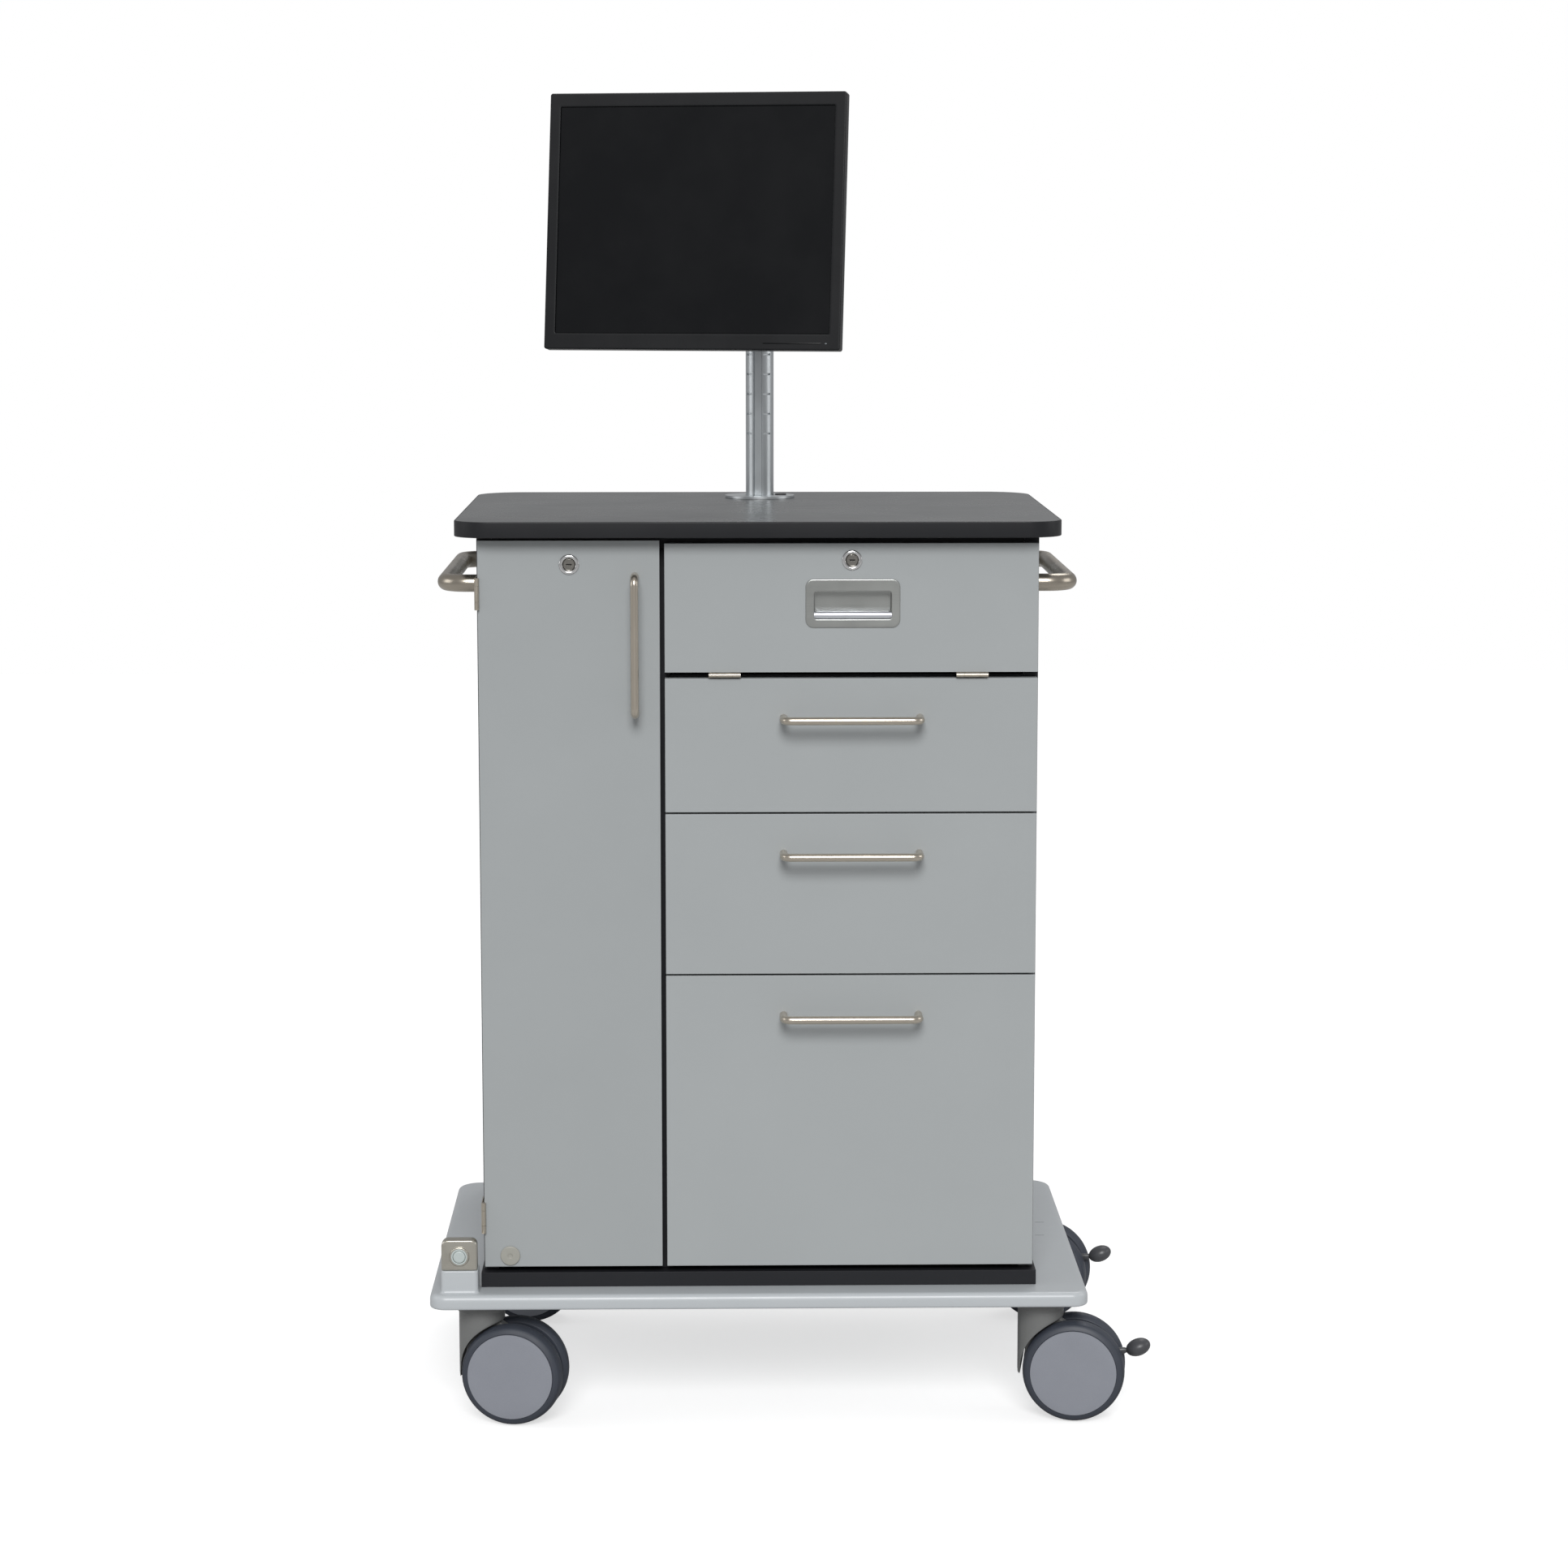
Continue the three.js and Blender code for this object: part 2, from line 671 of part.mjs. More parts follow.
// Recessed finger pull of the flap: face plate, cup behind it and a rolled lip to pull on.
function recessPull() {
  const halfWidth = cupWidth / 2;
  const halfHeight = cupHeight / 2;
  const halfOpening = cupOpeningWidth / 2;
  const openingLow = cupOpeningRise - halfHeight;
  const openingHigh = openingLow + cupOpeningHeight;
  const plateOutline = roundedOutline(-halfWidth, halfWidth, -halfHeight, halfHeight, 8);
  const plate = extrude(plateOutline, 1.5, 4).applyMatrix4(towardsFront).translate(0, -seat, 0);
  const shell = block(
    [-halfOpening - cupWall, -seat - 0.2, openingLow - cupWall],
    [halfOpening + cupWall, cupDepth + cupWall, openingHigh + cupWall],
  );
  const hollow = block([-halfOpening, -5, openingLow], [halfOpening, cupDepth, openingHigh]);
  const lipEnd = halfOpening + cupWall / 2;
  const lip = turned([[0, -lipEnd], [cupLipRadius, -lipEnd], [cupLipRadius, lipEnd], [0, lipEnd]], 12);
  lip.rotateZ(-Math.PI / 2).translate(0, cupLipRadius - 1.5, openingLow + cupLipRadius - seat);
  return join(cut(join(plate, shell), hollow), lip);
}

// Drop-down flap over the laptop compartment, hinged along its bottom edge.
function flap() {
  const lockZ = flapTop - lockBelowFlapTop;
  const cupZ = flapTop - cupBelowFlapTop;
  const outline = rectangle(drawerLeft, drawerRight, flapBottom, flapTop);
  outline.holes.push(bore(flapLockX, lockZ, lockBarrelRadius + seat, 24));
  const cupX = flapLockX + cupOffset;
  const cupMargin = cupWall + seat;
  const cupHalf = cupOpeningWidth / 2 + cupMargin;
  const cupLow = cupZ - cupHeight / 2 + cupOpeningRise - cupMargin;
  const cupHigh = cupLow + cupOpeningHeight + 2 * cupMargin;
  outline.holes.push(rectangle(cupX - cupHalf, cupX + cupHalf, cupLow, cupHigh));
  const panel = extrude(outline, frontThickness).applyMatrix4(towardsFront);
  add('flap_panel', panel, laminate).position.y = frontThickness;
  add('flap_lock_rim', lockRim(), polishedSteel).position.set(flapLockX, 0, lockZ);
  add('flap_lock_plug', lockPlug(), polishedSteel).position.set(flapLockX, 0, lockZ);
  add('flap_recess_pull', recessPull(), anodised).position.set(cupX, 0, cupZ);
  const half = hingeLength / 2;
  const flapEdge = flapBottom - seat - flapHingeZ;
  const shelfLeaf = shelfTop + seat - flapHingeZ;
  const fixedLeaf = block([shelfLeaf, 0, -half], [shelfLeaf + hingeLeaf, hingeReach, half]);
  const movingLeaf = block(
    [flapEdge - hingeLeaf, 0, -half],
    [flapEdge, frontThickness - hingeY - hingeLeafMargin, half],
  );
  const pair = hingePair(fixedLeaf, movingLeaf);
  const centres = { left: drawerLeft + flapHingeInset.left, right: drawerRight - flapHingeInset.right };
  for (const [side, x] of Object.entries(centres)) {
    const fixed = add(`flap_hinge_leaf_${side}`, pair.fixed, zincSteel);
    const moving = add(`flap_hinge_${side}`, pair.moving, zincSteel);
    for (const leaf of [fixed, moving]) {
      leaf.position.set(x, hingeY, flapHingeZ);
      leaf.rotation.y = -Math.PI / 2;
    }
  }
}

// Drawer: front, pull and a tray with a slide rib on each side.
const ribHalfHeight = runnerHalfHeight - 1.5;
const ribLength = runnerSpace - 4.2;
const ribSetback = 8; // behind the tray's front wall
const runnerRise = 34; // above the tray's floor
const trayLeft = dividerRight + runnerSpace;
const trayRight = sideInner - runnerSpace;

function runnerZ(drawer) {
  return drawer.bottom + trayAboveFrontBottom + runnerRise;
}

function tray(drawer) {
  const low = drawer.bottom + trayAboveFrontBottom;
  const high = drawer.top - trayBelowFrontTop;
  const front = frontThickness + seat;
  const shell = block([trayLeft, front, low], [trayRight, trayBack, high]);
  const ribZ = runnerZ(drawer);
  const rib = block(
    [trayLeft - ribLength, front + ribSetback, ribZ - ribHalfHeight],
    [trayRight + ribLength, trayBack, ribZ + ribHalfHeight],
  );
  const hollow = block(
    [trayLeft + trayWall, front + trayWall, low + trayWall],
    [trayRight - trayWall, trayBack - trayWall, high + 1],
  );
  return cut(join(shell, rib), hollow);
}

function drawerUnit(drawer) {
  const front = block([drawerLeft, 0, drawer.bottom], [drawerRight, frontThickness, drawer.top]);
  add(`${drawer.name}_drawer_front`, front, laminate);
  add(`${drawer.name}_drawer_tray`, tray(drawer), trayCoat);
  const mesh = add(`${drawer.name}_drawer_pull`, pull(axisX), brushedSteel);
  mesh.position.set(drawerMiddle + pullOffset, -seat, drawer.top - pullDrop[drawer.name]);
}

// Runner frame: one folded steel plate each side with a channel for each drawer's rib.
function runnerFrame(side) {
  const reach = runnerPlate + runnerLedge;
  const top = upperTop - runnerPlateDrop;
  const points = [[0, doorBottom], [0, top], [runnerPlate, top]];
  for (const drawer of drawers) {
    const z = runnerZ(drawer);
    for (const sign of [1, -1]) {
      const near = z + sign * runnerHalfHeight;
      const far = near + sign * runnerPlate;
      const levels = sign > 0 ? [far, near] : [near, far];
      points.push([runnerPlate, levels[0]], [reach, levels[0]], [reach, levels[1]], [runnerPlate, levels[1]]);
    }
  }
  points.push([runnerPlate, doorBottom]);
  const outline = new THREE.Shape(points.map(([x, z]) => new THREE.Vector2(side * x, z)));
  const length = trayBack - carcassFront - runnerSetback;
  return extrude(outline, length).applyMatrix4(towardsFront).translate(0, trayBack, 0);
}

// Push button in a formed steel cover on the base's riser.
function pushButton() {
  const half = riserWidth / 2 - riserMargin;
  const low = baseTop + riserHeight + seat;
  const front = riserFront + riserMargin;
  const shape = roundedOutline(-half, half, 0, coverHeight, 2, coverCorner);
  const body = extrudeRounded(shape, coverDepth, 1.5, 3, 1).applyMatrix4(towardsFront);
  body.translate(0, coverDepth, 0);
  const buttonZ = coverHeight / 2 - 1.5;
  const bezel = turned([
    [0, -2],
    [buttonBezelRadius - 1, -2],
    [buttonBezelRadius, -1],
    [buttonBezelRadius, 1],
    [0, 1],
  ], 20).translate(0, 0, buttonZ);
  const bore = turned([
    [0, -5],
    [buttonRadius + running, -5],
    [buttonRadius + running, buttonDepth],
    [0, buttonDepth],
  ], 20).translate(0, 0, buttonZ);
  const cover = add('button_cover', cut(join(body, bezel), bore), brushedSteel);
  cover.position.set(riserX, front, low);
  const buttonBack = buttonDepth - buttonTravel - 1;
  const cap = turned([
    [0, -buttonProud],
    [buttonRadius - 1, -buttonProud],
    [buttonRadius, -buttonProud + 1],
    [buttonRadius, buttonBack],
    [0, buttonBack],
  ], 20);
  add('push_button', cap, buttonPlastic).position.set(riserX, front, low + buttonZ);
}

// Twin-wheel swivel caster. Its group turns about the swivel axis and its wheels trail along +X.
const casterNames = ['front_left', 'front_right', 'rear_left', 'rear_right'];
const wheelClearance = 3;
const collarHeight = 12.5;
const housingOffset = 3.5;
const housingRadius = 29.5;
const housingHalfWidth = 27;

function casterHousing() {
  const top = baseBottom - seat;
  const collarLow = top - collarHeight;
  const axleZ = wheelRadius;
  const left = housingOffset - housingRadius;
  const right = housingOffset + housingRadius;
  const side = new THREE.Shape();
  side.moveTo(left, collarLow + 0.5);
  side.lineTo(right, collarLow + 0.5);
  side.lineTo(casterTrail + 17, collarLow - 4);
  side.lineTo(casterTrail + 22, axleZ + 20);
  side.lineTo(casterTrail + 14, axleZ - 10);
  side.lineTo(casterTrail - 14, axleZ - 14);
  side.lineTo(left + 6, axleZ - 7);
  side.lineTo(left - 2, axleZ);
  const width = 2 * housingHalfWidth;
  const hood = extrude(side, width).applyMatrix4(towardsFront).translate(0, housingHalfWidth, 0);
  const plan = new THREE.Shape();
  plan.moveTo(casterTrail + 40, -housingHalfWidth);
  plan.lineTo(casterTrail + 40, housingHalfWidth);
  plan.lineTo(housingOffset, housingHalfWidth);
  plan.absarc(housingOffset, 0, housingRadius + 2.5, degrees(115), degrees(245));
  plan.lineTo(housingOffset, -housingHalfWidth);
  const shaped = common(hood, extrude(plan, baseBottom, 12));
  const collar = extrude(disc(housingOffset, 0, housingRadius, 28), collarHeight).translate(0, 0, collarLow);
  const web = wheelGap / 2 - 0.6;
  const clearRadius = wheelRadius + wheelClearance;
  const wheelSpaces = [-1, 1].map((face) => {
    const ends = [face * web, face * (casterWidth / 2 + 5)].sort((a, b) => a - b);
    const space = turned([[0, ends[0]], [clearRadius, ends[0]], [clearRadius, ends[1]], [0, ends[1]]], 32);
    return space.translate(casterTrail, 0, axleZ);
  });
  const bore = turned([
    [0, -web - 5],
    [axleRadius + running, -web - 5],
    [axleRadius + running, web + 5],
    [0, web + 5],
  ], 16).translate(casterTrail, 0, axleZ);
  const pedalSpace = block([casterTrail + 13, -4, axleZ + 8], [casterTrail + 30, 4, axleZ + 36]);
  return cut(join(collar, shaped), ...wheelSpaces, bore, pedalSpace);
}

// A pair of wheels on their axle, turned as one: domed disc, tyre with a crowned tread.
function wheelPair() {
  const face = casterWidth / 2;
  const inner = wheelGap / 2;
  const half = [
    [0, face],
    [wheelRadius - 10, face - 1],
    [wheelRadius - 9.5, face - 3],
    [wheelRadius - 3, face - 5],
    [wheelRadius, face - 13],
    [wheelRadius - 5, inner],
    [axleRadius, inner],
  ];
  const mirrored = half.map(([radius, y]) => [radius, -y]);
  return turned([...mirrored, ...half.reverse()], 24);
}

// Brake pedal: a lever between the wheels that ends in a toe pad.
const pedalPivotX = casterTrail + 20;
const pedalPivotZ = wheelRadius + 22;
const pedalReach = casterTrail + wheelRadius + 30.5;
const pedalWidth = 26;

function brakePedal() {
  const padStart = casterTrail + wheelRadius + 1 - pedalPivotX;
  const padEnd = pedalReach - pedalPivotX;
  const pad = new THREE.Shape();
  pad.moveTo(padStart - 2, -3);
  pad.quadraticCurveTo(padStart + 8, -12, padStart + 17, -7);
  pad.quadraticCurveTo(padEnd + 3, 1, padEnd, 10);
  pad.quadraticCurveTo(padEnd - 8, 19, padStart + 10, 13);
  pad.quadraticCurveTo(padStart + 3, 9, padStart - 2, 3);
  const toe = extrudeRounded(pad, pedalWidth, 3, 3, 1).applyMatrix4(towardsFront);
  toe.translate(0, pedalWidth / 2, 0);
  const lever = block([0, -3, -4.5], [padStart + 8, 3, 4.5]);
  const boss = extrude(disc(0, 0, 7, 14), 6).applyMatrix4(towardsFront).translate(0, 3, 0);
  return join(boss, lever, toe);
}

function caster(name) {
  const side = name.endsWith('left') ? -1 : 1;
  const y = name.startsWith('front') ? baseFront + casterFrontInset : baseBack - casterRearInset;
  const group = new THREE.Group();
  group.position.set(side * (baseHalfWidth - casterInset), y, 0);
  group.rotation.z = degrees(swivelDegrees[name]);
  cart.add(group);
  add(`caster_housing_${name}`, casterHousing(), casterPlastic, group);
  add(`caster_wheels_${name}`, wheelPair(), wheelPlastic, group).position.set(casterTrail, 0, wheelRadius);
  if (side < 0) return;
  const pedal = add(`brake_pedal_${name}`, brakePedal(), pedalPlastic, group);
  pedal.position.set(pedalPivotX, 0, pedalPivotZ);
}

// Monitor arm: a collar clamped on the post, a short arm that swings round the post on it,
// a head that swivels at the arm's end, and the tilting bracket with the monitor.
const armBottom = worktopTop + armHeight;
const collarDepth = 18;
const pinRadius = 6;
const bossRadius = 15;

function ringOutline(radius, inside) {
  const outline = disc(0, 0, radius, postCorners);
  outline.holes.push(bore(0, 0, inside, postCorners));
  return outline;
}

function postCollar() {
  const ring = extrude(ringOutline(postRadius + collarWall, postRadius + running), collarDepth);
  const knob = turned([[0, 0], [9, 0], [9, 12], [0, 12]], 14);
  knob.translate(0, postRadius + collarWall - 2, collarDepth / 2);
  return join(ring, knob).translate(0, 0, armBottom - seat - collarDepth);
}

function monitorArm() {
  const hub = extrude(disc(0, 0, postRadius + collarWall, postCorners), armThickness);
  const bar = block([-11, -armLength, 2], [11, -postRadius, armThickness - 2]);
  const boss = extrude(disc(0, -armLength, bossRadius, 20), armThickness);
  const drill = (y, radius, corners) => {
    const outer = radius / Math.cos(Math.PI / corners);
    return extrude(disc(0, y, outer, corners), armThickness + 2).translate(0, 0, -1);
  };
  const postBore = drill(0, postRadius + running, postCorners);
  const pinBore = drill(-armLength, pinRadius + running, 16);
  return cut(join(hub, bar, boss), postBore, pinBore).translate(0, 0, armBottom);
}

const tiltAxisRise = 9; // above the top of the arm
const tiltBarrelRadius = 8;
const tiltHalfWidth = 12;
const earThickness = 4.5;

function monitorHead() {
  const armTop = armBottom + armThickness;
  const pin = extrude(disc(0, 0, pinRadius, 16), armThickness + 2).translate(0, 0, armTop - armThickness);
  const barrel = extrude(disc(0, 0, 14, 20), 17.5).translate(0, 0, armTop + seat);
  const tongue = block([-8, -headReach, armTop + 3], [8, 0, armTop + 15]);
  const knuckle = turned([
    [0, -tiltHalfWidth],
    [tiltBarrelRadius, -tiltHalfWidth],
    [tiltBarrelRadius, tiltHalfWidth],
    [0, tiltHalfWidth],
  ], 16).rotateZ(Math.PI / 2).translate(0, -headReach, armTop + tiltAxisRise);
  const bore = turned([[0, -20], [3 + running, -20], [3 + running, 20], [0, 20]], 12);
  bore.rotateZ(Math.PI / 2).translate(0, -headReach, armTop + tiltAxisRise);
  return cut(join(pin, barrel, tongue, knuckle), bore);
}

function monitorBracket() {
  const back = monitorDepth - monitorReach + seat;
  const plate = block([-50, back, -50], [50, back + 3, 50]);
  const pieces = [plate];
  for (const side of [-1, 1]) {
    const inside = side * (tiltHalfWidth + 0.4);
    const outside = inside + side * earThickness;
    const [low, high] = [inside, outside].sort((a, b) => a - b);
    pieces.push(block([low, back + 2, -9], [high, 0, 9]));
    const round = turned([[0, low], [9, low], [9, high], [0, high]], 16).rotateZ(-Math.PI / 2);
    pieces.push(round);
  }
  const reach = tiltHalfWidth + 2;
  pieces.push(turned([[0, -reach], [3, -reach], [3, reach], [0, reach]], 12).rotateZ(Math.PI / 2));
  return join(...pieces);
}

const backShare = 0.7; // of the housing's face taken by the bulge behind it
const screenThickness = 2.2;

function monitorHousing() {
  const halfWidth = monitorWidth / 2;
  const halfHeight = monitorHeight / 2;
  const rimOutline = roundedOutline(-halfWidth, halfWidth, -halfHeight, halfHeight, 4);
  const rim = extrudeRounded(rimOutline, monitorRim, 1.5, 2, 1).applyMatrix4(towardsFront);
  rim.translate(0, monitorRim, 0);
  const bulge = monitorDepth - monitorRim + 4;
  const backHalf = halfWidth * backShare;
  const backOutline = roundedOutline(-backHalf, backHalf, -halfHeight * backShare, halfHeight * 0.65, 18);
  const back = extrudeRounded(backOutline, bulge, 12, 3, 2).applyMatrix4(towardsFront);
  back.translate(0, monitorDepth, 0);
  const pocket = block(
    [-halfWidth + bezelSide, -1, -halfHeight + bezelBottom],
    [halfWidth - bezelSide, screenRecess + screenThickness + seat, halfHeight - bezelTop],
  );
  return cut(join(rim, back), pocket);
}

function monitorScreen() {
  const halfWidth = monitorWidth / 2 - bezelSide - seat;
  const low = -monitorHeight / 2 + bezelBottom + seat;
  const high = monitorHeight / 2 - bezelTop - seat;
  return block([-halfWidth, screenRecess, low], [halfWidth, screenRecess + screenThickness, high]);
}

function monitorAssembly() {
  const onPost = new THREE.Group();
  onPost.position.set(postOffset, postY, 0);
  cart.add(onPost);
  add('post_collar', postCollar(), darkPlastic, onPost);
  const arm = new THREE.Group();
  arm.rotation.z = degrees(armSwing);
  onPost.add(arm);
  add('monitor_arm', monitorArm(), anodised, arm);
  const head = new THREE.Group();
  head.position.y = -armLength;
  head.rotation.z = degrees(headSwing - armSwing);
  arm.add(head);
  add('monitor_head', monitorHead(), darkPlastic, head);
  const tilt = new THREE.Group();
  tilt.position.set(0, -headReach, armBottom + armThickness + tiltAxisRise);
  tilt.rotation.x = degrees(monitorTilt);
  head.add(tilt);
  add('monitor_bracket', monitorBracket(), darkPlastic, tilt);
  const face = new THREE.Group();
  face.position.y = -monitorReach;
  tilt.add(face);
  add('monitor_housing', monitorHousing(), darkPlastic, face);
  add('monitor_screen', monitorScreen(), screenGlass, face);
}

add('base_plate', basePlate(), baseMoulding);
carcass();
add('worktop', worktop(), worktopLaminate);
add('post_flange', postFlange(), polishedSteel);
add('post', post(), anodised);
pushHandles();
cupboardDoor();
flap();
drawers.forEach(drawerUnit);
add('runner_frame_left', runnerFrame(1), zincSteel).position.x = dividerRight + seat;
add('runner_frame_right', runnerFrame(-1), zincSteel).position.x = sideInner - seat;
pushButton();
casterNames.forEach(caster);
monitorAssembly();

// The origin is the middle of the whole cart's box, on the floor.
const bounds = new THREE.Box3().setFromObject(cart, true);
const centre = bounds.getCenter(new THREE.Vector3());
cart.position.set(-centre.x, -centre.y, -bounds.min.z);

export default cart;
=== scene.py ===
import json
import math

import bmesh
import bpy
import numpy as np
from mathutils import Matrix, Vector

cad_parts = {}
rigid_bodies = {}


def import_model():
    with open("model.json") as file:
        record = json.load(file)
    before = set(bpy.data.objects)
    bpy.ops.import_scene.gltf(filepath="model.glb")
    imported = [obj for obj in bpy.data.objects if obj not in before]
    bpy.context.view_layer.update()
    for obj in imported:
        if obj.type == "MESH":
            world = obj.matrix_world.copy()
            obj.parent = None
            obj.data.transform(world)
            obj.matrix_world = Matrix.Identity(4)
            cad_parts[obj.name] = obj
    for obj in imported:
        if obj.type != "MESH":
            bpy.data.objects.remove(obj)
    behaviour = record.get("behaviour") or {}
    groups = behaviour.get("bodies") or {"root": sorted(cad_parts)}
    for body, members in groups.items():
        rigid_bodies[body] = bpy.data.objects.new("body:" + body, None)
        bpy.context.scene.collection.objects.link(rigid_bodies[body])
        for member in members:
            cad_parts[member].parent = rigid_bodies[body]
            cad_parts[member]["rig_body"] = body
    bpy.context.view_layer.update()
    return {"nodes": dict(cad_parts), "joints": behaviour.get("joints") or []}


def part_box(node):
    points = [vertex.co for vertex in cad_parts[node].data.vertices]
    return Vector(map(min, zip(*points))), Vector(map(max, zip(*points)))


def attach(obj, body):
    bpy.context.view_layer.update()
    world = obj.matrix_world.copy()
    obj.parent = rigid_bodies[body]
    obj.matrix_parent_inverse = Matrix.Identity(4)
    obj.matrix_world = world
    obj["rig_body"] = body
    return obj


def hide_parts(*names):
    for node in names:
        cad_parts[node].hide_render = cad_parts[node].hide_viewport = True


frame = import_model()
joints = {joint["name"]: joint for joint in frame["joints"]}
scene = bpy.context.scene
MM = 0.001

# ---------------------------------------------------------------------------------------------
# Camera and studio. The camera stands in front of the cart, at about eye height, and looks a
# little down. The floor is one pale sheet. A broad light from above the camera throws the soft
# shadows, an even room fills them, and soft boxes reach the sides and the back. The room and the
# floor's glow are white only where the camera sees them, so they don't flood the cart with light.
camera = bpy.data.objects.new("camera", bpy.data.cameras.new("camera"))
scene.collection.objects.link(camera)
camera.data.lens = 86.66
camera.data.sensor_width = 36
camera.data.clip_end = 60
camera.location = (-0.09465, -4.72795, 1.42104)
camera.rotation_euler = (math.radians(90 - 8.054), 0, math.radians(-1.084))
scene.camera = camera
scene.view_settings.view_transform = "Standard"


def colour(code):
    """A hex colour as the linear values that a shader takes: ((c + 0.055) / 1.055) to the power 2.4."""
    shares = np.array([int(code[k : k + 2], 16) for k in (0, 2, 4)]) / 255
    linear = np.where(shares > 0.04045, ((shares + 0.055) / 1.055) ** 2.4, shares / 12.92)
    return (*linear.tolist(), 1.0)


def put(tree, kind, links=(), **settings):
    """Adds a node. Settings are its own; links give an input socket a value or another node's output."""
    node = tree.nodes.new(kind)
    for key, value in settings.items():
        setattr(node, key, value)
    for key, value in dict(links).items():
        if isinstance(value, bpy.types.NodeSocket):
            tree.links.new(value, node.inputs[key])
        else:
            node.inputs[key].default_value = value
    return node


def group(name, inputs, outputs):
    """An empty node group with named float or vector inputs and float outputs, and its two end nodes."""
    tree = bpy.data.node_groups.new(name, "ShaderNodeTree")
    for label, value in inputs.items():
        kind = "NodeSocketVector" if value is None else "NodeSocketFloat"
        socket = tree.interface.new_socket(label, in_out="INPUT", socket_type=kind)
        if value is not None:
            socket.default_value = value
    for label in outputs:
        tree.interface.new_socket(label, in_out="OUTPUT", socket_type="NodeSocketFloat")
    return tree, tree.nodes.new("NodeGroupInput").outputs, tree.nodes.new("NodeGroupOutput").inputs


# Mottle: a broad and a fine noise, added about a middle tone. Tone goes from 0 to 1, Height is
# the fine noise alone.
mottle, given, made = group(
    "mottle",
    {"Vector": None, "Broad Scale": 20.0, "Fine Scale": 800.0, "Broad": 0.5, "Fine": 0.5},
    ["Tone", "Height"],
)
broad = put(
    mottle, "ShaderNodeTexNoise",
    {"Vector": given["Vector"], "Scale": given["Broad Scale"], "Detail": 3.0, "Roughness": 0.55},
)
fine = put(
    mottle, "ShaderNodeTexNoise",
    {"Vector": given["Vector"], "Scale": given["Fine Scale"], "Detail": 2.0, "Roughness": 0.6},
)
centred = [put(mottle, "ShaderNodeMath", {0: noise.outputs["Fac"], 1: 0.5}, operation="SUBTRACT")
           for noise in (broad, fine)]
broad_part = put(mottle, "ShaderNodeMath", {0: centred[0].outputs[0], 1: given["Broad"], 2: 0.5},
                 operation="MULTIPLY_ADD")
both = put(mottle, "ShaderNodeMath", {0: centred[1].outputs[0], 1: given["Fine"], 2: broad_part.outputs[0]},
           operation="MULTIPLY_ADD", use_clamp=True)
mottle.links.new(both.outputs[0], made["Tone"])
mottle.links.new(fine.outputs["Fac"], made["Height"])

# Drawn lines: noise that is stretched by different scales along each axis, as brushing, drawing
# and turning leave it.
lines, given, made = group("drawn lines", {"Vector": None, "Scales": None, "Contrast": 1.0}, ["Tone", "Height"])
stretched = put(lines, "ShaderNodeVectorMath", {0: given["Vector"], 1: given["Scales"]}, operation="MULTIPLY")
streaks = put(lines, "ShaderNodeTexNoise", {"Vector": stretched.outputs[0], "Scale": 1.0, "Detail": 4.0,
                                            "Roughness": 0.65})
middle = put(lines, "ShaderNodeMath", {0: streaks.outputs["Fac"], 1: 0.5}, operation="SUBTRACT")
spread = put(lines, "ShaderNodeMath", {0: middle.outputs[0], 1: given["Contrast"], 2: 0.5},
             operation="MULTIPLY_ADD", use_clamp=True)
lines.links.new(spread.outputs[0], made["Tone"])
lines.links.new(streaks.outputs["Fac"], made["Height"])

# Handling: soft patches where hands and cloths have been, from 0 to 1.
handling, given, made = group("handling", {"Vector": None, "Scale": 9.0}, ["Mask"])
patches = put(handling, "ShaderNodeTexNoise", {"Vector": given["Vector"], "Scale": given["Scale"],
                                               "Detail": 5.0, "Roughness": 0.6})
soft = put(handling, "ShaderNodeMapRange", {"Value": patches.outputs["Fac"], "From Min": 0.42, "From Max": 0.72})
handling.links.new(soft.outputs["Result"], made["Mask"])


def finish(name, dark, light, rough, metallic=0.0, broad=(12.0, 0.6), fine=(700.0, 0.5), drawn=None,
           bump=0.15, depth=0.0001, source=None, **fixed):
    """A surface finish. Its colour runs from dark to light over the mottle, or over drawn lines where
    their scales are given; its roughness runs over the handling patches; its bump is the fine noise.
    Source names a mesh attribute to read in place of object coordinates."""
    material = bpy.data.materials.new(name)
    material.use_nodes = True
    tree = material.node_tree
    shader = tree.nodes["Principled BSDF"]
    if source:
        place = put(tree, "ShaderNodeAttribute", attribute_name=source).outputs["Vector"]
    else:
        place = put(tree, "ShaderNodeTexCoord").outputs["Object"]
    if drawn:
        texture = put(tree, "ShaderNodeGroup", node_tree=lines)
        texture.inputs["Scales"].default_value = drawn[0]
        texture.inputs["Contrast"].default_value = drawn[1]
    else:
        texture = put(tree, "ShaderNodeGroup", node_tree=mottle)
        for label, value in zip(("Broad Scale", "Broad", "Fine Scale", "Fine"), (*broad, *fine)):
            texture.inputs[label].default_value = value
    tree.links.new(place, texture.inputs["Vector"])
    mix = put(tree, "ShaderNodeMix", {0: texture.outputs["Tone"], 6: colour(dark), 7: colour(light)},
              data_type="RGBA")
    tree.links.new(mix.outputs[2], shader.inputs["Base Color"])
    touched = put(tree, "ShaderNodeGroup", node_tree=handling)
    tree.links.new(place, touched.inputs["Vector"])
    roughness = put(tree, "ShaderNodeMapRange", {"Value": touched.outputs["Mask"], "To Min": rough[0],
                                                 "To Max": rough[1]})
    tree.links.new(roughness.outputs["Result"], shader.inputs["Roughness"])
    relief = put(tree, "ShaderNodeBump", {"Strength": bump, "Distance": depth,
                                          "Height": texture.outputs["Height"]})
    tree.links.new(relief.outputs["Normal"], shader.inputs["Normal"])
    shader.inputs["Metallic"].default_value = metallic
    for label, value in fixed.items():
        shader.inputs[label.replace("_", " ").title().replace("Ior", "IOR")].default_value = value
    return material


